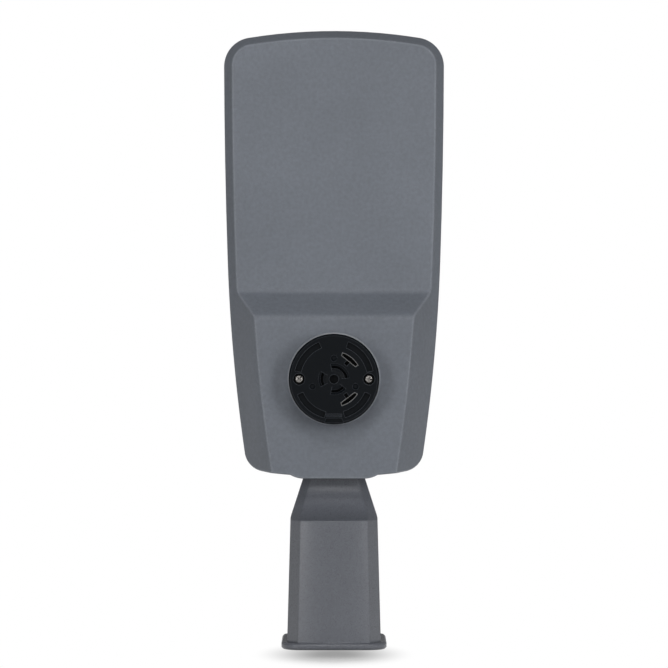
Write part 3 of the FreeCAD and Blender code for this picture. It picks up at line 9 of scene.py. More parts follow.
import bmesh
import bpy
from mathutils import Matrix, Vector


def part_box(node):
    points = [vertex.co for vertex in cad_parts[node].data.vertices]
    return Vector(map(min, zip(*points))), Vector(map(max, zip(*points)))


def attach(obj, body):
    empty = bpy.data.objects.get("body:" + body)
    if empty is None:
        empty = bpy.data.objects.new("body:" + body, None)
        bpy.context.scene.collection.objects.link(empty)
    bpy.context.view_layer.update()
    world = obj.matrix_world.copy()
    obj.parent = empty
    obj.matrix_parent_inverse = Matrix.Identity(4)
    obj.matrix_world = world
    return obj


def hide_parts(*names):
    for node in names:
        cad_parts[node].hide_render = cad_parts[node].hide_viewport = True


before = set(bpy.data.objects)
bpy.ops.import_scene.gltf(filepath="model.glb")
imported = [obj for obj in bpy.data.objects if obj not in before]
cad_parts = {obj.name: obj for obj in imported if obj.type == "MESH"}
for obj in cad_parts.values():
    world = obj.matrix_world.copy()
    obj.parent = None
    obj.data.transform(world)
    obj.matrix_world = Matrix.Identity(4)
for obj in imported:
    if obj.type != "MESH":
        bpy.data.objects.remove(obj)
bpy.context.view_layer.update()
LOG = logging.getLogger("street_light")
MM = 0.001
WELD = 1e-6
Colour = tuple[float, float, float]
Material = bpy.types.Material
Socket = bpy.types.NodeSocket

# The middle of a noise's values, which it seldom leaves.
NOISE_RANGE = (0.3, 0.7)
# Where a Mix node keeps its factor, its two colours and their mix.
MIX_FACTOR, MIX_FIRST, MIX_SECOND, MIX_RESULT = 0, 6, 7, 2


def screen_colour(red: int, green: int, blue: int) -> Colour:
    """Turns a colour as it is seen on a screen into the linear one that shaders take.

    Args:
        red: Red, from 0 to 255.
        green: Green, from 0 to 255.
        blue: Blue, from 0 to 255.

    Returns:
        The linear red, green and blue.
    """
    def linear(value: int) -> float:
        """One channel, made linear by the sRGB rule."""
        share = value / 255
        return share / 12.92 if share <= 0.04045 else ((share + 0.055) / 1.055) ** 2.4

    return linear(red), linear(green), linear(blue)


class Body(Enum):
    """The two parts of the lamp that move against each other."""

    SPIGOT = "spigot"
    HEAD = "head"


class Facing(Enum):
    """Which way a fastener's head points, as the turn that its own +Z takes."""

    LIT_SIDE = (-math.pi / 2, 0.0, 0.0)
    BACK = (math.pi / 2, 0.0, 0.0)


class Recess(Enum):
    """The drive cut into a screw's head."""

    HEX = 6
    CROSS = 4


class Graph:
    """A node tree of shaders, wired up by name."""

    def __init__(self, tree: bpy.types.NodeTree) -> None:
        """Empties the tree.

        Args:
            tree: The tree of a material or of the world.
        """
        self.tree = tree
        self.tree.nodes.clear()

    def add(self, kind: str, inputs: dict[str | int, object] | None = None,
            **settings: object) -> bpy.types.Node:
        """Adds a node.

        Args:
            kind: The node's type name.
            inputs: Values for its unlinked sockets, by name or place.
            settings: Values for its own settings.

        Returns:
            The new node.
        """
        node = self.tree.nodes.new(kind)
        for key, value in settings.items():
            setattr(node, key, value)
        for key, value in (inputs or {}).items():
            node.inputs[key].default_value = value
        return node

    def link(self, source: Socket, target: Socket) -> None:
        """Joins two sockets."""
        self.tree.links.new(source, target)

    def noise(self, place: Socket, size: float, detail: float = 2.0) -> Socket:
        """Adds a noise whose blotches are about as large as given.

        Args:
            place: The coordinates that it reads.
            size: The blotches' size in metres.
            detail: How many finer octaves it has.

        Returns:
            Its value socket.
        """
        node = self.add("ShaderNodeTexNoise", {"Scale": 1 / size, "Detail": detail})
        self.link(place, node.inputs["Vector"])
        return node.outputs["Fac"]

    def math(self, operation: str, first: Socket, second: Socket) -> Socket:
        """One Math node's result on two values.

        Args:
            operation: The node's operation.
            first: The first value.
            second: The second value.

        Returns:
            The result's socket.
        """
        node = self.add("ShaderNodeMath", operation=operation)
        self.link(first, node.inputs[0])
        self.link(second, node.inputs[1])
        return node.outputs[0]

    def ramp(self, value: Socket, start: float, end: float, low: float, high: float,
             interpolation: str = "LINEAR") -> Socket:
        """Maps one span of values onto another, and holds the ends beyond it.

        Args:
            value: What is mapped.
            start: The value that gives low.
            end: The value that gives high.
            low: The result at the start.
            high: The result at the end.
            interpolation: How the result goes from low to high.

        Returns:
            The result's socket.
        """
        limits = {"From Min": start, "From Max": end, "To Min": low, "To Max": high}
        node = self.add("ShaderNodeMapRange", limits, interpolation_type=interpolation)
        self.link(value, node.inputs["Value"])
        return node.outputs["Result"]

    def around(self, noise: Socket, middle: float, swing: float) -> Socket:
        """Maps a noise's middle range onto a span about a middle."""
        return self.ramp(noise, *NOISE_RANGE, middle - swing, middle + swing)

    def choose(self, factor: Socket, off: Socket, on: float) -> Socket:
        """Takes one value where a factor is 0 and another where it is 1.

        Args:
            factor: The factor.
            off: The value at 0.
            on: The value at 1.

        Returns:
            The result's socket.
        """
        node = self.add("ShaderNodeMapRange", {"To Max": on})
        self.link(factor, node.inputs["Value"])
        self.link(off, node.inputs["To Min"])
        return node.outputs["Result"]

    def tinted(self, colour: Colour, factor: Socket) -> Socket:
        """A colour, made lighter or darker by a factor around 1."""
        inputs = {MIX_FACTOR: 1.0, MIX_FIRST: (*colour, 1)}
        node = self.add("ShaderNodeMix", inputs, data_type="RGBA", blend_type="MULTIPLY")
        self.link(factor, node.inputs[MIX_SECOND])
        return node.outputs[MIX_RESULT]

    def bump(self, height: Socket, distance: float, normal: Socket | None = None) -> Socket:
        """Turns a height into a normal.

        Args:
            height: The height, from 0 to 1.
            distance: How high 1 stands, in metres.
            normal: The normal that it starts from, where that isn't the surface's own.

        Returns:
            The new normal's socket.
        """
        node = self.add("ShaderNodeBump", {"Strength": 1.0, "Distance": distance})
        self.link(height, node.inputs["Height"])
        if normal is not None:
            self.link(normal, node.inputs["Normal"])
        return node.outputs["Normal"]

    def principled(self, values: dict[str | int, object], links: dict[str, Socket]) -> None:
        """Makes a Principled surface the tree's result.

        Args:
            values: The inputs that are the same all over.
            links: The inputs that are linked, with their sources.
        """
        surface = self.add("ShaderNodeBsdfPrincipled", values)
        for key, source in links.items():
            self.link(source, surface.inputs[key])
        self.output(surface.outputs["BSDF"], "ShaderNodeOutputMaterial")

    def output(self, result: Socket, kind: str) -> None:
        """Makes a shader the tree's result."""
        self.link(result, self.add(kind).inputs["Surface"])


def new_material(name: str) -> tuple[Material, Graph]:
    """Starts a material.

    Args:
        name: Its name.

    Returns:
        The material and its empty tree.
    """
    material = bpy.data.materials.new(name)
    material.use_nodes = True
    return material, Graph(material.node_tree)


@dataclass(frozen=True)
class CoatFinish:
    """Powder coat, plastic or rubber: fine relief, faint clouds, soft edges and a painted edge
    highlight if asked.
    """

    name: str
    colour: Colour
    roughness: float
    grain: float = 0.45 * MM
    relief: float = 0.035 * MM
    mottle: float = 0.05
    specular: float = 0.5
    edge: float = 0.0
    # glint is a painted highlight along outer edges; the fields after it set its mask.
    glint: Colour | None = None
    glint_width: float = 0.5 * MM
    glint_start: float = 0.97
    glint_full: float = 0.84
    glint_least: float = 0.45
    roughness_swing: float = 0.05
    patch_grains: float = 6.0
    patch_share: float = 0.45
    cloud_size: float = 60 * MM
    cloud_share: float = 0.35

    def build(self) -> Material:
        """Makes the material.

        Returns:
            The finished material.
        """
        material, graph = new_material(self.name)
        place = graph.add("ShaderNodeTexCoord").outputs["Object"]
        fine = graph.noise(place, self.grain, detail=3.0)
        colour = graph.tinted(self.colour, self.tone(graph, place, fine))
        # Painted highlight along outer edges.
        if self.glint:
            colour = self.painted_edge_highlight(graph, colour, fine)
        eased = None
        if self.edge:
            eased = graph.add("ShaderNodeBevel", {"Radius": self.edge}, samples=4).outputs["Normal"]
        graph.principled({"Specular IOR Level": self.specular}, {
            "Base Color": colour,
            "Roughness": graph.around(fine, self.roughness, self.roughness_swing),
            "Normal": graph.bump(fine, self.relief, eased),
        })
        return material

    def tone(self, graph: Graph, place: Socket, fine: Socket) -> Socket:
        """How light each spot is: the grain's speckle, small patches and broad clouds, all around 1.

        Args:
            graph: The material's graph.
            place: The coordinates that the clouds read.
            fine: The grain's value.

        Returns:
            The factor's socket.
        """
        total = graph.around(fine, 1.0, self.mottle)
        patches = (self.patch_grains * self.grain, self.patch_share)
        clouds = (self.cloud_size, self.cloud_share)
        for size, share in (patches, clouds):
            blotches = graph.around(graph.noise(place, size), 1.0, share * self.mottle)
            total = graph.math("MULTIPLY", total, blotches)
        return total

    def painted_edge_highlight(self, graph: Graph, colour: Socket, fine: Socket) -> Socket:
        """Mixes a lighter colour in along outer edges: a painted highlight, where edges would catch the
        light.

        Args:
            graph: The material's graph.
            colour: The colour away from edges.
            fine: The grain, which frays the edge's line.

        Returns:
            The mixed colour's socket.
        """
        inner = graph.add("ShaderNodeAmbientOcclusion", {"Distance": self.glint_width},
                          samples=8, inside=True, only_local=True)
        line = graph.ramp(inner.outputs["AO"], self.glint_start, self.glint_full, 0.0, 1.0)
        frayed = graph.math("MULTIPLY", line, graph.ramp(fine, *NOISE_RANGE, self.glint_least, 1.0))
        mix = graph.add("ShaderNodeMix", {MIX_SECOND: (*self.glint, 1)}, data_type="RGBA")
        graph.link(frayed, mix.inputs[MIX_FACTOR])
        graph.link(colour, mix.inputs[MIX_FIRST])
        return mix.outputs[MIX_RESULT]


@dataclass(frozen=True)
class MetalFinish:
    """Bare or plated metal with faint marks."""

    name: str
    colour: Colour
    roughness: float
    scratch: float = 0.25 * MM
    relief: float = 0.01 * MM
    roughness_swing: float = 0.06
    tone_swing: float = 0.06

    def build(self) -> Material:
        """Makes the material.

        Returns:
            The finished material.
        """
        material, graph = new_material(self.name)
        place = graph.add("ShaderNodeTexCoord").outputs["Object"]
        marks = graph.noise(place, self.scratch, detail=3.0)
        graph.principled({"Metallic": 1.0}, {
            "Base Color": graph.tinted(self.colour, graph.around(marks, 1.0, self.tone_swing)),
            "Roughness": graph.around(marks, self.roughness, self.roughness_swing),
            "Normal": graph.bump(marks, self.relief),
        })
        return material


@dataclass(frozen=True)
class ClearFinish:
    """Glass or clear plastic, with a faint waviness."""

    name: str
    colour: Colour
    ior: float
    roughness: float
    wave: float
    wave_size: float = 25 * MM

    def build(self) -> Material:
        """Makes the material.

        Returns:
            The finished material.
        """
        material, graph = new_material(self.name)
        place = graph.add("ShaderNodeTexCoord").outputs["Object"]
        waves = graph.noise(place, self.wave_size, detail=1.0)
        graph.principled({
            "Base Color": (*self.colour, 1),
            "Transmission Weight": 1.0,
            "IOR": self.ior,
            "Roughness": self.roughness,
        }, {"Normal": graph.bump(waves, self.wave)})
        return material


@dataclass(frozen=True)
class Finishes:
    """Every finish of the lamp, built once."""

    cast: Material
    spigot: Material
    moulding: Material
    rubber: Material
    seal: Material
    stainless: Material
    plated: Material
    contact: Material
    glass: Material
    lens: Material
    board: Material
    ceramic: Material
    phosphor: Material
    driver: Material
    white: Material


def make_finishes() -> Finishes:
    """Builds all materials.

    Returns:
        The set of finishes.
    """
    return Finishes(
        # The glint colours are painted highlights along outer edges.
        cast=CoatFinish(
            "cast_grey", screen_colour(110, 115, 123), 0.5, mottle=0.15, specular=0.35, edge=1.0 * MM,
            glint=screen_colour(166, 170, 177), glint_width=1.3 * MM).build(),
        # The spigot's coat is the head's cast grey made darker: painted shade.
        spigot=CoatFinish(
            "cast_grey_spigot_painted_shade", screen_colour(98, 101, 108), 0.3, relief=0.02 * MM, mottle=0.12,
            specular=0.6, edge=1.8 * MM).build(),
        moulding=CoatFinish(
            "black_moulding", screen_colour(5, 9, 14), 0.44, grain=0.3 * MM, relief=0.012 * MM,
            specular=0.1, edge=0.2 * MM, glint=screen_colour(72, 76, 82),
            glint_width=0.35 * MM).build(),
        rubber=CoatFinish(
            "seal_rubber", screen_colour(52, 53, 56), 0.7, grain=0.5 * MM, relief=0.01 * MM).build(),
        # The seal's light grey is partly its own colour and partly a painted highlight: the thin light
        # ring round the socket.
        seal=CoatFinish(
            "seal_grey_and_painted_highlight", screen_colour(156, 159, 164), 0.6, grain=0.5 * MM, relief=0.01 * MM).build(),
        stainless=MetalFinish("stainless", (0.62, 0.61, 0.59), 0.3).build(),
        plated=MetalFinish("plated_screw", (0.22, 0.21, 0.2), 0.36).build(),
        contact=MetalFinish("contact_metal", (0.3, 0.3, 0.29), 0.2).build(),
        glass=ClearFinish("window_glass", (0.97, 0.99, 0.98), 1.5, 0.0, 0.002 * MM).build(),
        lens=ClearFinish("clear_lens", (0.98, 0.99, 1.0), 1.49, 0.02, 0.004 * MM).build(),
        board=CoatFinish(
            "white_board", screen_colour(236, 236, 232), 0.35, grain=1.5 * MM, relief=0.004 * MM,
            mottle=0.02).build(),
        ceramic=CoatFinish(
            "led_body", screen_colour(240, 240, 236), 0.4, grain=0.3 * MM, relief=0.003 * MM,
            mottle=0.02).build(),
        phosphor=CoatFinish(
            "phosphor", screen_colour(238, 196, 84), 0.35, grain=0.15 * MM, relief=0.01 * MM).build(),
        driver=MetalFinish("driver_case", (0.72, 0.73, 0.74), 0.4, scratch=0.6 * MM).build(),
        white=CoatFinish(
            "white_moulding", screen_colour(222, 222, 216), 0.45, grain=0.3 * MM, relief=0.01 * MM,
            mottle=0.02).build(),
    )


def make_piece(name: str, mesh: bpy.types.Mesh, material: Material, body: Body,
               nodes: Sequence[str] = ()) -> bpy.types.Object:
    """Puts a finished mesh on the lamp.

    Args:
        name: The piece's name.
        mesh: Its mesh, in the lamp's frame.
        material: Its finish.
        body: The body that it moves with.
        nodes: The solids that it stands for.

    Returns:
        The new object.
    """
    mesh.name = name
    mesh.materials.clear()
    mesh.materials.append(material)
    piece = bpy.data.objects.new(name, mesh)
    bpy.context.scene.collection.objects.link(piece)
    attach(piece, body.value)
    if nodes:
        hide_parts(*nodes)
    LOG.info("%s: %d faces", name, len(mesh.polygons))
    return piece


def smooth_copy(node: str, sharp: float = 24.0) -> bpy.types.Mesh:
    """A merged, smooth-shaded copy of a solid's mesh.

    Args:
        node: The solid's name.
        sharp: The angle in degrees above which an edge stays crisp.

    Returns:
        The new mesh.
    """
    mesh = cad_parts[node].data.copy()
    work = bmesh.new()
    work.from_mesh(mesh)
    bmesh.ops.remove_doubles(work, verts=work.verts, dist=WELD)
    bmesh.ops.dissolve_degenerate(work, edges=work.edges, dist=WELD / 10)
    work.to_mesh(mesh)
    work.free()
    if "custom_normal" in mesh.attributes:
        mesh.attributes.remove(mesh.attributes["custom_normal"])
    mesh.shade_smooth()
    mesh.set_sharp_from_angle(angle=math.radians(sharp))
    return mesh


def islands(node: str) -> list[tuple[Vector, Vector]]:
    """The boxes of a node's separate solids, for nodes that are groups of like pieces.

    Args:
        node: The node's name.

    Returns:
        The lowest and highest corner of each solid, in a settled order.
    """
    work = bmesh.new()
    work.from_mesh(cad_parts[node].data)
    bmesh.ops.remove_doubles(work, verts=work.verts, dist=WELD)
    seen: set[bmesh.types.BMVert] = set()
    boxes = []
    for start in work.verts:
        if start in seen:
            continue
        stack, points = [start], []
        seen.add(start)
        while stack:
            vert = stack.pop()
            points.append(vert.co)
            for edge in vert.link_edges:
                other = edge.other_vert(vert)
                if other not in seen:
                    seen.add(other)
                    stack.append(other)
        low = Vector([min(p[i] for p in points) for i in range(3)])
        high = Vector([max(p[i] for p in points) for i in range(3)])
        boxes.append((low, high))
    work.free()
    return sorted(boxes, key=lambda box: tuple(round(c, 5) for c in box[0]))


def ring(work: bmesh.types.BMesh, radius: float, height: float, steps: int) -> list[bmesh.types.BMVert]:
    """Adds points around Z.

    Args:
        work: The shape.
        radius: Their distance from Z, or 0 for a single point on it.
        height: Their height.
        steps: How many there are.

    Returns:
        The new points.
    """
    if radius == 0:
        return [work.verts.new((0, 0, height))]
    angles = [2 * math.pi * i / steps for i in range(steps)]
    return [work.verts.new((radius * math.cos(a), radius * math.sin(a), height)) for a in angles]


def bridge(work: bmesh.types.BMesh, lower: Sequence[bmesh.types.BMVert],
           upper: Sequence[bmesh.types.BMVert]) -> None:
    """Adds the faces between two rings, either of which may be a single point.

    Args:
        work: The shape.
        lower: The first ring.
        upper: The second ring.
    """
    steps = max(len(lower), len(upper))
    for i in range(steps):
        j = (i + 1) % steps
        if len(lower) == 1:
            work.faces.new((lower[0], upper[j], upper[i]))
        elif len(upper) == 1:
            work.faces.new((lower[i], lower[j], upper[0]))
        else:
            work.faces.new((lower[i], lower[j], upper[j], upper[i]))


def lathe(profile: Sequence[tuple[float, float]], steps: int) -> bmesh.types.BMesh:
    """A closed turned shape about Z.

    Args:
        profile: Radius and height of each point, from the axis at the foot to the axis at the top.
        steps: Facets around.

    Returns:
        The shape, open to more work.
    """
    work = bmesh.new()
    rings = [ring(work, radius, height, steps) for radius, height in profile]
    for lower, upper in zip(rings, rings[1:]):
        bridge(work, lower, upper)
    bmesh.ops.recalc_face_normals(work, faces=work.faces)
    return work


def finished(work: bmesh.types.BMesh, name: str, sharp: float = 30.0) -> bpy.types.Mesh:
    """Turns a bmesh into a smooth mesh.

    Args:
        work: The shape, which is used up.
        name: The mesh's name.
        sharp: The angle in degrees above which an edge stays crisp.

    Returns:
        The new mesh.
    """
    mesh = bpy.data.meshes.new(name)
    work.to_mesh(mesh)
    work.free()
    mesh.shade_smooth()
    mesh.set_sharp_from_angle(angle=math.radians(sharp))
    return mesh


# A rounded rim: how far in and how far below the top its points lie, in shares of its radius.
ROUNDED_RIM = ((0.0, 1.0), (0.12, 0.5), (0.5, 0.12), (1.0, 0.0))
# A pan head's outline, in shares of its radius and height.
PAN_OUTLINE = ((1.0, 0.0), (1.0, 0.45), (0.95, 0.7), (0.82, 0.88), (0.66, 0.97))


@dataclass(frozen=True)
class Fastener:
    """A screw's head, its foot on the origin and its top along +Z.

    The fields from dome on are shares of its height, of its drive or of its recess's width.
    """

    radius: float
    height: float
    drive: float
    recess: Recess
    steps: int = 40
    dome: float = 0.25
    mouth_width: float = 1.12
    mouth_depth: float = 0.08
    hex_floor: float = 0.35
    hex_tip: float = 0.2
    slot_width: float = 0.13
    slot_depth: float = 0.62
    slot_taper: float = 0.55

    def build(self) -> bpy.types.Mesh:
        """Makes the head with its drive recess.

        Returns:
            The head's mesh.
        """
        if self.recess is Recess.HEX:
            return self.hex_head()
        return self.cross_head()

    def hex_head(self) -> bpy.types.Mesh:
        """A cylinder head with rounded rim and a hexagonal socket.

        Returns:
            The head's mesh.
        """
        top, rim = self.height, self.dome * self.height
        corner = self.drive / 2 / math.cos(math.pi / 6)
        profile = [(0, 0), (self.radius, 0)]
        profile += [(self.radius - inward * rim, top - down * rim) for inward, down in ROUNDED_RIM]
        profile += [(corner * self.mouth_width, top), (corner, top - self.mouth_depth * top),
                    (corner, top * self.hex_floor), (0, top * self.hex_tip)]
        work = lathe(profile, self.steps - self.steps % Recess.HEX.value)
        for vert in work.verts:
            flat = math.hypot(vert.co.x, vert.co.y)
            if abs(flat - corner) < WELD:
                angle = math.atan2(vert.co.y, vert.co.x) % (math.pi / 3) - math.pi / 6
                reach = self.drive / 2 / math.cos(angle) / flat
                vert.co.x *= reach
                vert.co.y *= reach
        return finished(work, "hex_head")

    def cross_head(self) -> bpy.types.Mesh:
        """A pan head with a tapered cross recess.

        Returns:
            The head's mesh.
        """
        long, wide, top = self.drive / 2, self.drive * self.slot_width, self.height
        floor = top - top * self.slot_depth
        steps = self.steps - self.steps % (2 * Recess.CROSS.value)
        work = bmesh.new()
        rings = [ring(work, self.radius * out, up * top, steps) for out, up in PAN_OUTLINE]
        for lower, upper in zip(rings, rings[1:]):
            bridge(work, lower, upper)
        work.faces.new(list(reversed(rings[0])))
        corners = []
        for quarter in range(Recess.CROSS.value):
            turn = Matrix.Rotation(quarter * math.pi / 2, 3, "Z")
            arm = (Vector((long, -wide, top)), Vector((long, wide, top)), Vector((wide, wide, top)))
            corners += [turn @ corner for corner in arm]
        lip = [work.verts.new(c) for c in corners]
        foot = [work.verts.new((c.x * self.slot_taper, c.y * self.slot_taper, floor)) for c in corners]
        bridge(work, foot, lip)
        work.faces.new(list(reversed(foot)))
        edges = []
        for loop in (rings[-1], lip):
            edges += [work.edges.get(pair) for pair in zip(loop, loop[1:] + loop[:1])]
        bmesh.ops.triangle_fill(work, edges=edges, use_beauty=True)
        bmesh.ops.recalc_face_normals(work, faces=work.faces)
        return finished(work, "cross_head")


# The seed of the screws' turns, and where a Random Value node keeps its highest number and its draw.
SPIN_SEED = 7
DRAW_LIMIT, DRAW_RESULT = 3, 1


class Spreader:
    """Geometry Nodes that set a copy of one piece on each point of a host mesh."""

    def __init__(self, name: str) -> None:
        """Builds the tree.

        Args:
            name: The tree's name.
        """
        self.tree = bpy.data.node_groups.new(name, "GeometryNodeTree")
        face = self.tree.interface
        face.new_socket("Geometry", in_out="INPUT", socket_type="NodeSocketGeometry")
        face.new_socket("Geometry", in_out="OUTPUT", socket_type="NodeSocketGeometry")
        self.sockets = {
            label: face.new_socket(label, in_out="INPUT", socket_type=kind).identifier
            for label, kind in (("Piece", "NodeSocketObject"), ("Turn", "NodeSocketVector"),
                                ("Wander", "NodeSocketFloat"), ("Finish", "NodeSocketMaterial"))
        }
        self.wire()

    def wire(self) -> None:
        """Adds and joins the nodes: a turned copy on each point, spun by chance and made real."""
        nodes, links = self.tree.nodes, self.tree.links
        given = nodes.new("NodeGroupInput")
        result = nodes.new("NodeGroupOutput")
        piece = nodes.new("GeometryNodeObjectInfo")
        copies = nodes.new("GeometryNodeInstanceOnPoints")
        turn = nodes.new("FunctionNodeEulerToRotation")
        draw = nodes.new("FunctionNodeRandomValue")
        draw.inputs["Seed"].default_value = SPIN_SEED
        spin = nodes.new("ShaderNodeCombineXYZ")
        own = nodes.new("GeometryNodeRotateInstances")
        own.inputs["Local Space"].default_value = True
        real = nodes.new("GeometryNodeRealizeInstances")
        paint = nodes.new("GeometryNodeSetMaterial")
        links.new(given.outputs["Piece"], piece.inputs["Object"])
        links.new(piece.outputs["Geometry"], copies.inputs["Instance"])
        links.new(given.outputs["Turn"], turn.inputs["Euler"])
        links.new(turn.outputs["Rotation"], copies.inputs["Rotation"])
        links.new(given.outputs["Geometry"], copies.inputs["Points"])
        links.new(given.outputs["Wander"], draw.inputs[DRAW_LIMIT])
        links.new(draw.outputs[DRAW_RESULT], spin.inputs["Z"])
        links.new(spin.outputs["Vector"], own.inputs["Rotation"])
        links.new(copies.outputs["Instances"], own.inputs["Instances"])
        links.new(own.outputs["Instances"], real.inputs["Geometry"])
        links.new(real.outputs["Geometry"], paint.inputs["Geometry"])
        links.new(given.outputs["Finish"], paint.inputs["Material"])
        links.new(paint.outputs["Geometry"], result.inputs["Geometry"])

    def run(self, piece: bpy.types.Mesh, places: Iterable[Vector], facing: Facing,
            finish: Material, wander: float = 0.0) -> bpy.types.Mesh:
        """Copies a piece onto places.

        Args:
            piece: The piece's mesh, about the origin and standing along +Z.
            places: Where the copies go.
            facing: Which way they point.
            finish: Their material.
            wander: The most that a copy turns about its own axis, in radians.

        Returns:
            The plain mesh of all copies.
        """
        host = bpy.data.meshes.new("places")
        host.from_pydata([tuple(p) for p in places], [], [])
        pattern = bpy.data.objects.new("pattern", piece)
        carrier = bpy.data.objects.new("carrier", host)
        bpy.context.scene.collection.objects.link(pattern)
        bpy.context.scene.collection.objects.link(carrier)
        modifier = carrier.modifiers.new("spread", "NODES")
        modifier.node_group = self.tree
        values = {"Piece": pattern, "Turn": facing.value, "Wander": wander, "Finish": finish}
        for label, value in values.items():
            modifier[self.sockets[label]] = value
        depsgraph = bpy.context.evaluated_depsgraph_get()
        mesh = bpy.data.meshes.new_from_object(carrier.evaluated_get(depsgraph), depsgraph=depsgraph)
        carrier.modifiers.clear()
        bpy.data.objects.remove(carrier)
        bpy.data.objects.remove(pattern)
        return mesh


@dataclass
class Fixings:
    """All screws whose heads show, each group read from the solids that it stands for."""

    finishes: Finishes
    spreader: Spreader
    socket_head: Fastener = Fastener(3.6 * MM, 2.4 * MM, 3.0 * MM, Recess.HEX)
    board_head: Fastener = Fastener(2.7 * MM, 1.6 * MM, 2.2 * MM, Recess.HEX)
    pan_head: Fastener = Fastener(3.2 * MM, 2.2 * MM, 4.1 * MM, Recess.CROSS)
    socket_head_nodes: tuple[str, ...] = (
        "gear_cover_screws", "window_frame_screws", "driver_screws", "gear_block_screws", "earth_screw")

    def group(self, node: str, head: Fastener, facing: Facing, material: Material) -> bpy.types.Object:
        """Puts a head on each screw of a node.

        Args:
            node: The node that holds the screws.
            head: The head's make.
            facing: Which way the heads point.
            material: Their finish.

        Returns:
            The new piece.
        """
        places = []
        for low, high in islands(node):
            place = (low + high) / 2
            if facing is Facing.LIT_SIDE:
                place.y = high.y - head.height
            else:
                place.y = low.y + head.height
            places.append(place)
        mesh = self.spreader.run(head.build(), places, facing, material, wander=math.pi)
        return make_piece(node + "_heads", mesh, material, Body.HEAD, [node])

    def build(self) -> None:
        """Makes every group of screws."""
        steel = self.finishes.stainless
        for node in self.socket_head_nodes:
            self.group(node, self.socket_head, Facing.LIT_SIDE, steel)
        self.group("lens_plate_screws", self.board_head, Facing.LIT_SIDE, steel)
        self.group("socket_screws", self.pan_head, Facing.BACK, self.finishes.plated)


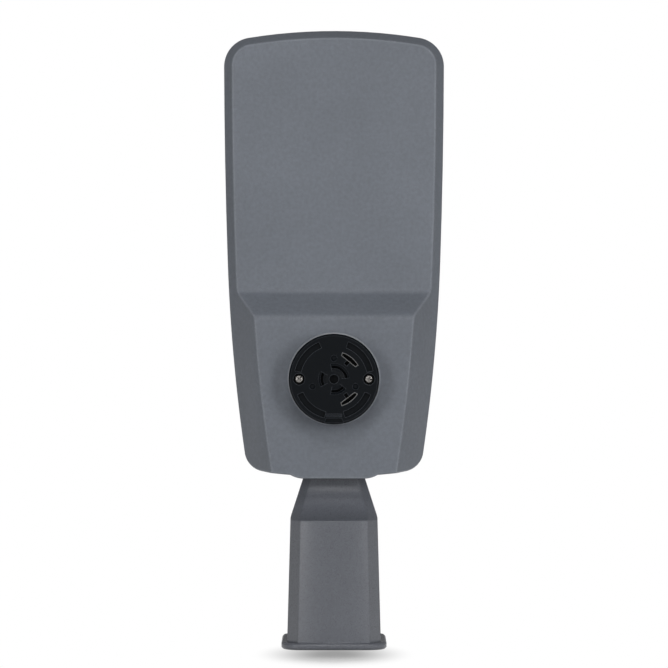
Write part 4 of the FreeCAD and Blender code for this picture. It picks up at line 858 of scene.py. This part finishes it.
@dataclass
class LightBay:
    """The boards, light sources and lenses behind the glass."""

    finishes: Finishes
    spreader: Spreader
    lens_length: float = 22 * MM
    lens_width: float = 15.5 * MM
    lens_rise: float = 5 * MM
    lens_squareness: float = 3.0
    lens_fall: float = 2.4
    lens_fullness: float = 0.6
    saddle: float = 0.22
    saddle_reach: float = 0.2
    body_half: float = 2.5 * MM
    body_rise: float = 0.45 * MM
    chip_width: float = 3.6 * MM
    chip_shoulder: float = 0.8
    chip_heights: tuple[float, float, float] = (0.15 * MM, 0.36 * MM, 0.46 * MM)
    sunk_chip: float = 0.05 * MM
    sunk_lens: float = 0.02 * MM
    sheet_thick: float = 2 * MM
    sheet_corner: float = 3 * MM
    sheet_rim: float = 0.5 * MM
    rings: int = 10
    spokes: int = 36

    def lens(self) -> bpy.types.Mesh:
        """One lens: a long low dome with a saddle across its middle, its foot on the origin.

        Returns:
            The lens's mesh.
        """
        work = bmesh.new()
        rows = [[work.verts.new((0, 0, self.lens_rise * (1 - self.saddle)))]]
        for step in range(1, self.rings + 1):
            share = math.sin(step / self.rings * math.pi / 2)
            row = []
            for spoke in range(self.spokes):
                angle = 2 * math.pi * spoke / self.spokes
                across, along = math.cos(angle), math.sin(angle)
                power = self.lens_squareness
                corner = (abs(across) ** power + abs(along) ** power) ** (-1 / power)
                x = across * corner * share * self.lens_length / 2
                y = along * corner * share * self.lens_width / 2
                dip = self.saddle * math.exp(-((x / (self.saddle_reach * self.lens_length)) ** 2))
                dome = max(1 - share**self.lens_fall, 0.0) ** self.lens_fullness
                row.append(work.verts.new((x, y, self.lens_rise * dome * (1 - dip))))
            rows.append(row)
        for inner, outer in zip(rows, rows[1:]):
            bridge(work, inner, outer)
        work.faces.new(list(reversed(rows[-1])))
        bmesh.ops.recalc_face_normals(work, faces=work.faces)
        return finished(work, "lens", sharp=60)

    def led_body(self) -> bpy.types.Mesh:
        """The light source's square white carrier, its foot on the origin.

        Returns:
            The carrier's mesh.
        """
        half, rise = self.body_half, self.body_rise
        work = lathe([(0, 0), (half, 0), (half, rise), (0, rise)], steps=4)
        bmesh.ops.rotate(work, verts=work.verts, matrix=Matrix.Rotation(math.pi / 4, 3, "Z"))
        bmesh.ops.scale(work, vec=(math.sqrt(2), math.sqrt(2), 1), verts=work.verts)
        return finished(work, "led_body")

    def led_chip(self) -> bpy.types.Mesh:
        """The light source's low yellow dome, standing on its carrier.

        Returns:
            The dome's mesh.
        """
        low, half = self.body_rise - self.sunk_chip, self.chip_width / 2
        wall, shoulder, top = (low + height for height in self.chip_heights)
        profile = [(0, low), (half, low), (half, wall), (half * self.chip_shoulder, shoulder), (0, top)]
        return finished(lathe(profile, steps=24), "led_chip")

    def sheet(self, low: Vector, high: Vector) -> bmesh.types.BMesh:
        """The lens plate's flat sheet, its corners and upper rim rounded.

        Args:
            low: Its lowest corner.
            high: Its highest corner.

        Returns:
            The sheet, open to more work.
        """
        work = bmesh.new()
        bmesh.ops.create_cube(work, size=1.0)
        size, middle = high - low, (high + low) / 2
        bmesh.ops.scale(work, vec=size, verts=work.verts)
        bmesh.ops.translate(work, vec=middle, verts=work.verts)
        uprights = [e for e in work.edges if abs(e.verts[0].co.y - e.verts[1].co.y) > size.y / 2]
        bmesh.ops.bevel(work, geom=uprights, offset=self.sheet_corner, segments=6,
                        affect="EDGES", profile=0.5)
        rims = [e for e in work.edges
                if min(v.co.y for v in e.verts) > middle.y and e.calc_face_angle(0) > math.pi / 4]
        bmesh.ops.bevel(work, geom=rims, offset=self.sheet_rim, segments=2,
                        affect="EDGES", profile=0.5)
        return work

    def half(self, side: str) -> None:
        """Makes one half of the light bay.

        Args:
            side: Which half, as the solids' names have it.
        """
        made = self.finishes
        board, plate, sources = f"led_board_{side}", f"lens_plate_{side}", f"led_emitters_{side}"
        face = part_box(board)[1].y
        places = [Vector(((a.x + b.x) / 2, face, (a.z + b.z) / 2)) for a, b in islands(sources)]
        mesh = smooth_copy(board)
        make_piece(f"circuit_board_{side}", mesh, made.board, Body.HEAD, [board])
        mesh = self.spreader.run(self.led_body(), places, Facing.LIT_SIDE, made.ceramic)
        make_piece(f"led_bodies_{side}", mesh, made.ceramic, Body.HEAD)
        mesh = self.spreader.run(self.led_chip(), places, Facing.LIT_SIDE, made.phosphor)
        make_piece(f"led_chips_{side}", mesh, made.phosphor, Body.HEAD, [sources])
        low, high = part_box(plate)
        high.y -= self.lens_rise
        low.y = high.y - self.sheet_thick
        plate_mesh = self.sheet(low, high)
        feet = [Vector((p.x, high.y - self.sunk_lens, p.z)) for p in places]
        lenses = self.spreader.run(self.lens(), feet, Facing.LIT_SIDE, made.lens)
        plate_mesh.from_mesh(lenses)
        bpy.data.meshes.remove(lenses)
        mesh = finished(plate_mesh, "lens_sheet", sharp=60)
        make_piece(f"lens_sheet_{side}", mesh, made.lens, Body.HEAD, [plate])

    def build(self) -> None:
        """Makes both halves of the light bay."""
        for side in ("left", "right"):
            self.half(side)


@dataclass
class Castings:
    """The grey cast pieces."""

    finishes: Finishes
    nodes: dict[str, Body] = field(default_factory=lambda: {
        "housing": Body.HEAD,
        "gear_cover": Body.HEAD,
        "window_frame": Body.HEAD,
        "pole_spigot": Body.SPIGOT,
    })

    def build(self) -> None:
        """Dresses each casting with a smooth copy of its solid."""
        for node, body in self.nodes.items():
            finish = self.finishes.spigot if body is Body.SPIGOT else self.finishes.cast
            make_piece(f"{node}_casting", smooth_copy(node), finish, body, [node])


@dataclass
class SmallParts:
    """Pieces whose solids already have their full form: they get a smooth skin and a finish."""

    finishes: Finishes

    def build(self) -> None:
        """Dresses each small part."""
        made = self.finishes
        rows: list[tuple[str, Material, str, Body]] = [
            ("socket_body", made.moulding, "black_moulding", Body.HEAD),
            ("socket_rear", made.moulding, "black_moulding", Body.HEAD),
            ("socket_gasket", made.seal, "seal_rubber", Body.HEAD),
            ("socket_contacts", made.contact, "contact_metal", Body.HEAD),
            ("gear_cover_gasket", made.rubber, "seal_rubber", Body.HEAD),
            ("glass_gasket", made.rubber, "seal_rubber", Body.HEAD),
            ("window_glass", made.glass, "clear_glass", Body.HEAD),
            ("led_driver", made.driver, "driver_case", Body.HEAD),
            ("surge_arrester", made.white, "white_moulding", Body.HEAD),
            ("terminal_block", made.white, "white_moulding", Body.HEAD),
            ("terminal_screws", made.plated, "plated_screw", Body.HEAD),
            ("cable_grommet", made.rubber, "seal_rubber", Body.HEAD),
            ("vent_plug", made.moulding, "black_moulding", Body.HEAD),
            ("pole_set_screws", made.stainless, "stainless", Body.SPIGOT),
            ("tilt_bolts", made.stainless, "stainless", Body.SPIGOT),
            ("tilt_washers", made.stainless, "stainless", Body.SPIGOT),
        ]
        for node, material, slot, body in rows:
            make_piece(f"{node}_skin", smooth_copy(node), material, body, [node])


@dataclass(frozen=True)
class Lamp:
    """A soft rectangular lamp: its place, width and height in metres, and its power in watts."""

    name: str
    place: tuple[float, float, float]
    size: tuple[float, float]
    power: float
    in_gloss: bool = True

    def hang(self, aim: Vector) -> None:
        """Hangs the lamp.

        Args:
            aim: What it points at.
        """
        data = bpy.data.lights.new(self.name, "AREA")
        data.shape = "RECTANGLE"
        data.size, data.size_y = self.size
        data.energy = self.power
        lamp = bpy.data.objects.new(self.name, data)
        lamp.location = self.place
        lamp.rotation_euler = (aim - Vector(self.place)).to_track_quat("-Z", "Y").to_euler()
        lamp.visible_glossy = self.in_gloss
        bpy.context.scene.collection.objects.link(lamp)


@dataclass
class Studio:
    """The floor, backdrop, lamps and camera."""

    view_height: float = 0.2318
    view_distance: float = 2.105
    view_depth: float = 50.0
    lens: float = 152.0
    aim_height: float = 0.25
    floor_half: float = 4.0
    floor_grey: float = 0.35
    shadow_reach: float = 0.15
    shadow_depth: float = 7.5
    shadow_darkest: float = 0.34
    shadow_core: float = 0.1
    shadow_centre: float = -0.064
    shadow_half_width: float = 0.06
    shadow_half_length: float = 0.088
    sky_front: float = 0.16
    sky_rear: float = 1.35
    sky_rear_from: float = 0.8
    sky_above: float = 0.15
    sky_above_from: float = 0.5
    sky_in_gloss: float = 0.2
    lamps: tuple[Lamp, ...] = (
        Lamp("left_lamp", (-1.1, -1.95, 0.55), (0.5, 1.1), 12.0),
        Lamp("right_lamp", (0.95, -1.38, 0.5), (0.4, 0.9), 9.1),
        Lamp("front_lamp", (0, -2.0, 1.9), (0.8, 0.5), 11.5),
        Lamp("neck_lamp", (0, -2.3, 0.9), (0.6, 0.45), 3.8),
        Lamp("left_side_lamp", (-2.0, -0.7, 0.4), (0.8, 0.8), 2.8, in_gloss=False),
        Lamp("right_side_lamp", (2.0, -0.7, 0.4), (0.8, 0.8), 4.2, in_gloss=False),
        Lamp("rear_lamp", (0.5, 1.9, 0.55), (1.2, 0.8), 14.0, in_gloss=False),
    )

    def paper(self) -> Material:
        """A floor that looks white with a contact shadow, and lights the rest as grey matt paper would.

        Returns:
            The material.
        """
        material, graph = new_material("floor_paper")
        near = graph.add("ShaderNodeAmbientOcclusion", {"Distance": self.shadow_reach}, samples=16)
        shade = graph.add("ShaderNodeMath", {1: self.shadow_depth}, operation="POWER")
        graph.link(near.outputs["AO"], shade.inputs[0])
        level = graph.math("MAXIMUM", shade.outputs[0], self.least_shade(graph))
        bare = graph.add("ShaderNodeEmission")
        graph.link(level, bare.inputs["Strength"])
        lit = graph.add("ShaderNodeBsdfDiffuse", {"Color": (*[self.floor_grey] * 3, 1)})
        either = graph.add("ShaderNodeMixShader")
        graph.link(self.seen(graph), either.inputs[0])
        graph.link(lit.outputs["BSDF"], either.inputs[1])
        graph.link(bare.outputs["Emission"], either.inputs[2])
        graph.output(either.outputs["Shader"], "ShaderNodeOutputMaterial")
        return material

    def least_shade(self, graph: Graph) -> Socket:
        """The least level of the floor: dark in a small oval in front of the flange, white beyond.

        Args:
            graph: The floor's graph.

        Returns:
            The limit's socket.
        """
        oval = graph.add("ShaderNodeMapping", {
            "Location": (0, -self.shadow_centre / self.shadow_half_length, 0),
            "Scale": (1 / self.shadow_half_width, 1 / self.shadow_half_length, 1),
        })
        graph.link(graph.add("ShaderNodeTexCoord").outputs["Object"], oval.inputs["Vector"])
        away = graph.add("ShaderNodeVectorMath", operation="LENGTH")
        graph.link(oval.outputs["Vector"], away.inputs[0])
        return graph.ramp(away.outputs["Value"], self.shadow_core, 1.0, self.shadow_darkest, 1.0,
                          interpolation="SMOOTHSTEP")

    def seen(self, graph: Graph) -> Socket:
        """Whether a ray comes from the camera, off gloss or through glass, as 1 or 0.

        Args:
            graph: The floor's graph.

        Returns:
            The answer's socket.
        """
        path = graph.add("ShaderNodeLightPath").outputs
        bent = graph.math("MAXIMUM", path["Is Glossy Ray"], path["Is Transmission Ray"])
        return graph.math("MAXIMUM", path["Is Camera Ray"], bent)

    def floor(self) -> None:
        """Lays the floor under the flange."""
        half = self.floor_half
        corners = [(-half, -half, 0), (half, -half, 0), (half, half, 0), (-half, half, 0)]
        mesh = bpy.data.meshes.new("floor")
        mesh.from_pydata(corners, [], [(0, 1, 2, 3)])
        mesh.materials.append(self.paper())
        floor = bpy.data.objects.new("floor", mesh)
        bpy.context.scene.collection.objects.link(floor)

    def world(self) -> None:
        """Makes the surroundings.

        The camera and glass see plain white. The light that falls on matt surfaces is dim in front and
        above and bright low in the rear, and gloss mirrors one dim level.
        """
        world = bpy.data.worlds.new("studio")
        world.use_nodes = True
        graph = Graph(world.node_tree)
        path = graph.add("ShaderNodeLightPath").outputs
        way = graph.add("ShaderNodeSeparateXYZ")
        graph.link(graph.add("ShaderNodeTexCoord").outputs["Generated"], way.inputs[0])
        depth = graph.ramp(way.outputs["Y"], 0.0, self.sky_rear_from, self.sky_front, self.sky_rear)
        height = graph.ramp(way.outputs["Z"], 0.0, self.sky_above_from, 1.0, self.sky_above)
        sky = graph.math("MULTIPLY", depth, height)
        light = graph.choose(path["Is Glossy Ray"], sky, self.sky_in_gloss)
        plain = graph.math("MAXIMUM", path["Is Camera Ray"], path["Is Transmission Ray"])
        backdrop = graph.add("ShaderNodeBackground", {"Color": (1, 1, 1, 1)})
        graph.link(graph.choose(plain, light, 1.0), backdrop.inputs["Strength"])
        graph.output(backdrop.outputs["Background"], "ShaderNodeOutputWorld")
        bpy.context.scene.world = world

    def camera(self) -> None:
        """Sets the camera up where the photo was taken, level and straight on."""
        data = bpy.data.cameras.new("camera")
        data.lens = self.lens
        data.clip_end = self.view_depth
        camera = bpy.data.objects.new("camera", data)
        camera.location = (0.0, -self.view_distance, self.view_height)
        camera.rotation_euler = (math.pi / 2, 0, 0)
        bpy.context.scene.collection.objects.link(camera)
        bpy.context.scene.camera = camera
        bpy.context.scene.view_settings.view_transform = "Standard"

    def build(self) -> None:
        """Sets up the whole studio."""
        self.floor()
        self.world()
        for lamp in self.lamps:
            lamp.hang(Vector((0, 0, self.aim_height)))
        self.camera()


def main() -> None:
    """Builds the lamp's looks in order and reports each piece."""
    logging.basicConfig(level=logging.INFO, format="%(name)s: %(message)s")
    finishes = make_finishes()
    spreader = Spreader("copies_on_places")
    steps: list[tuple[str, Callable[[], None]]] = [
        ("castings", Castings(finishes).build),
        ("small parts", SmallParts(finishes).build),
        ("light bay", LightBay(finishes, spreader).build),
        ("fixings", Fixings(finishes, spreader).build),
        ("studio", Studio().build),
    ]
    for label, build in steps:
        build()
        LOG.info("%s: done", label)


if __name__ == "__main__":
    main()
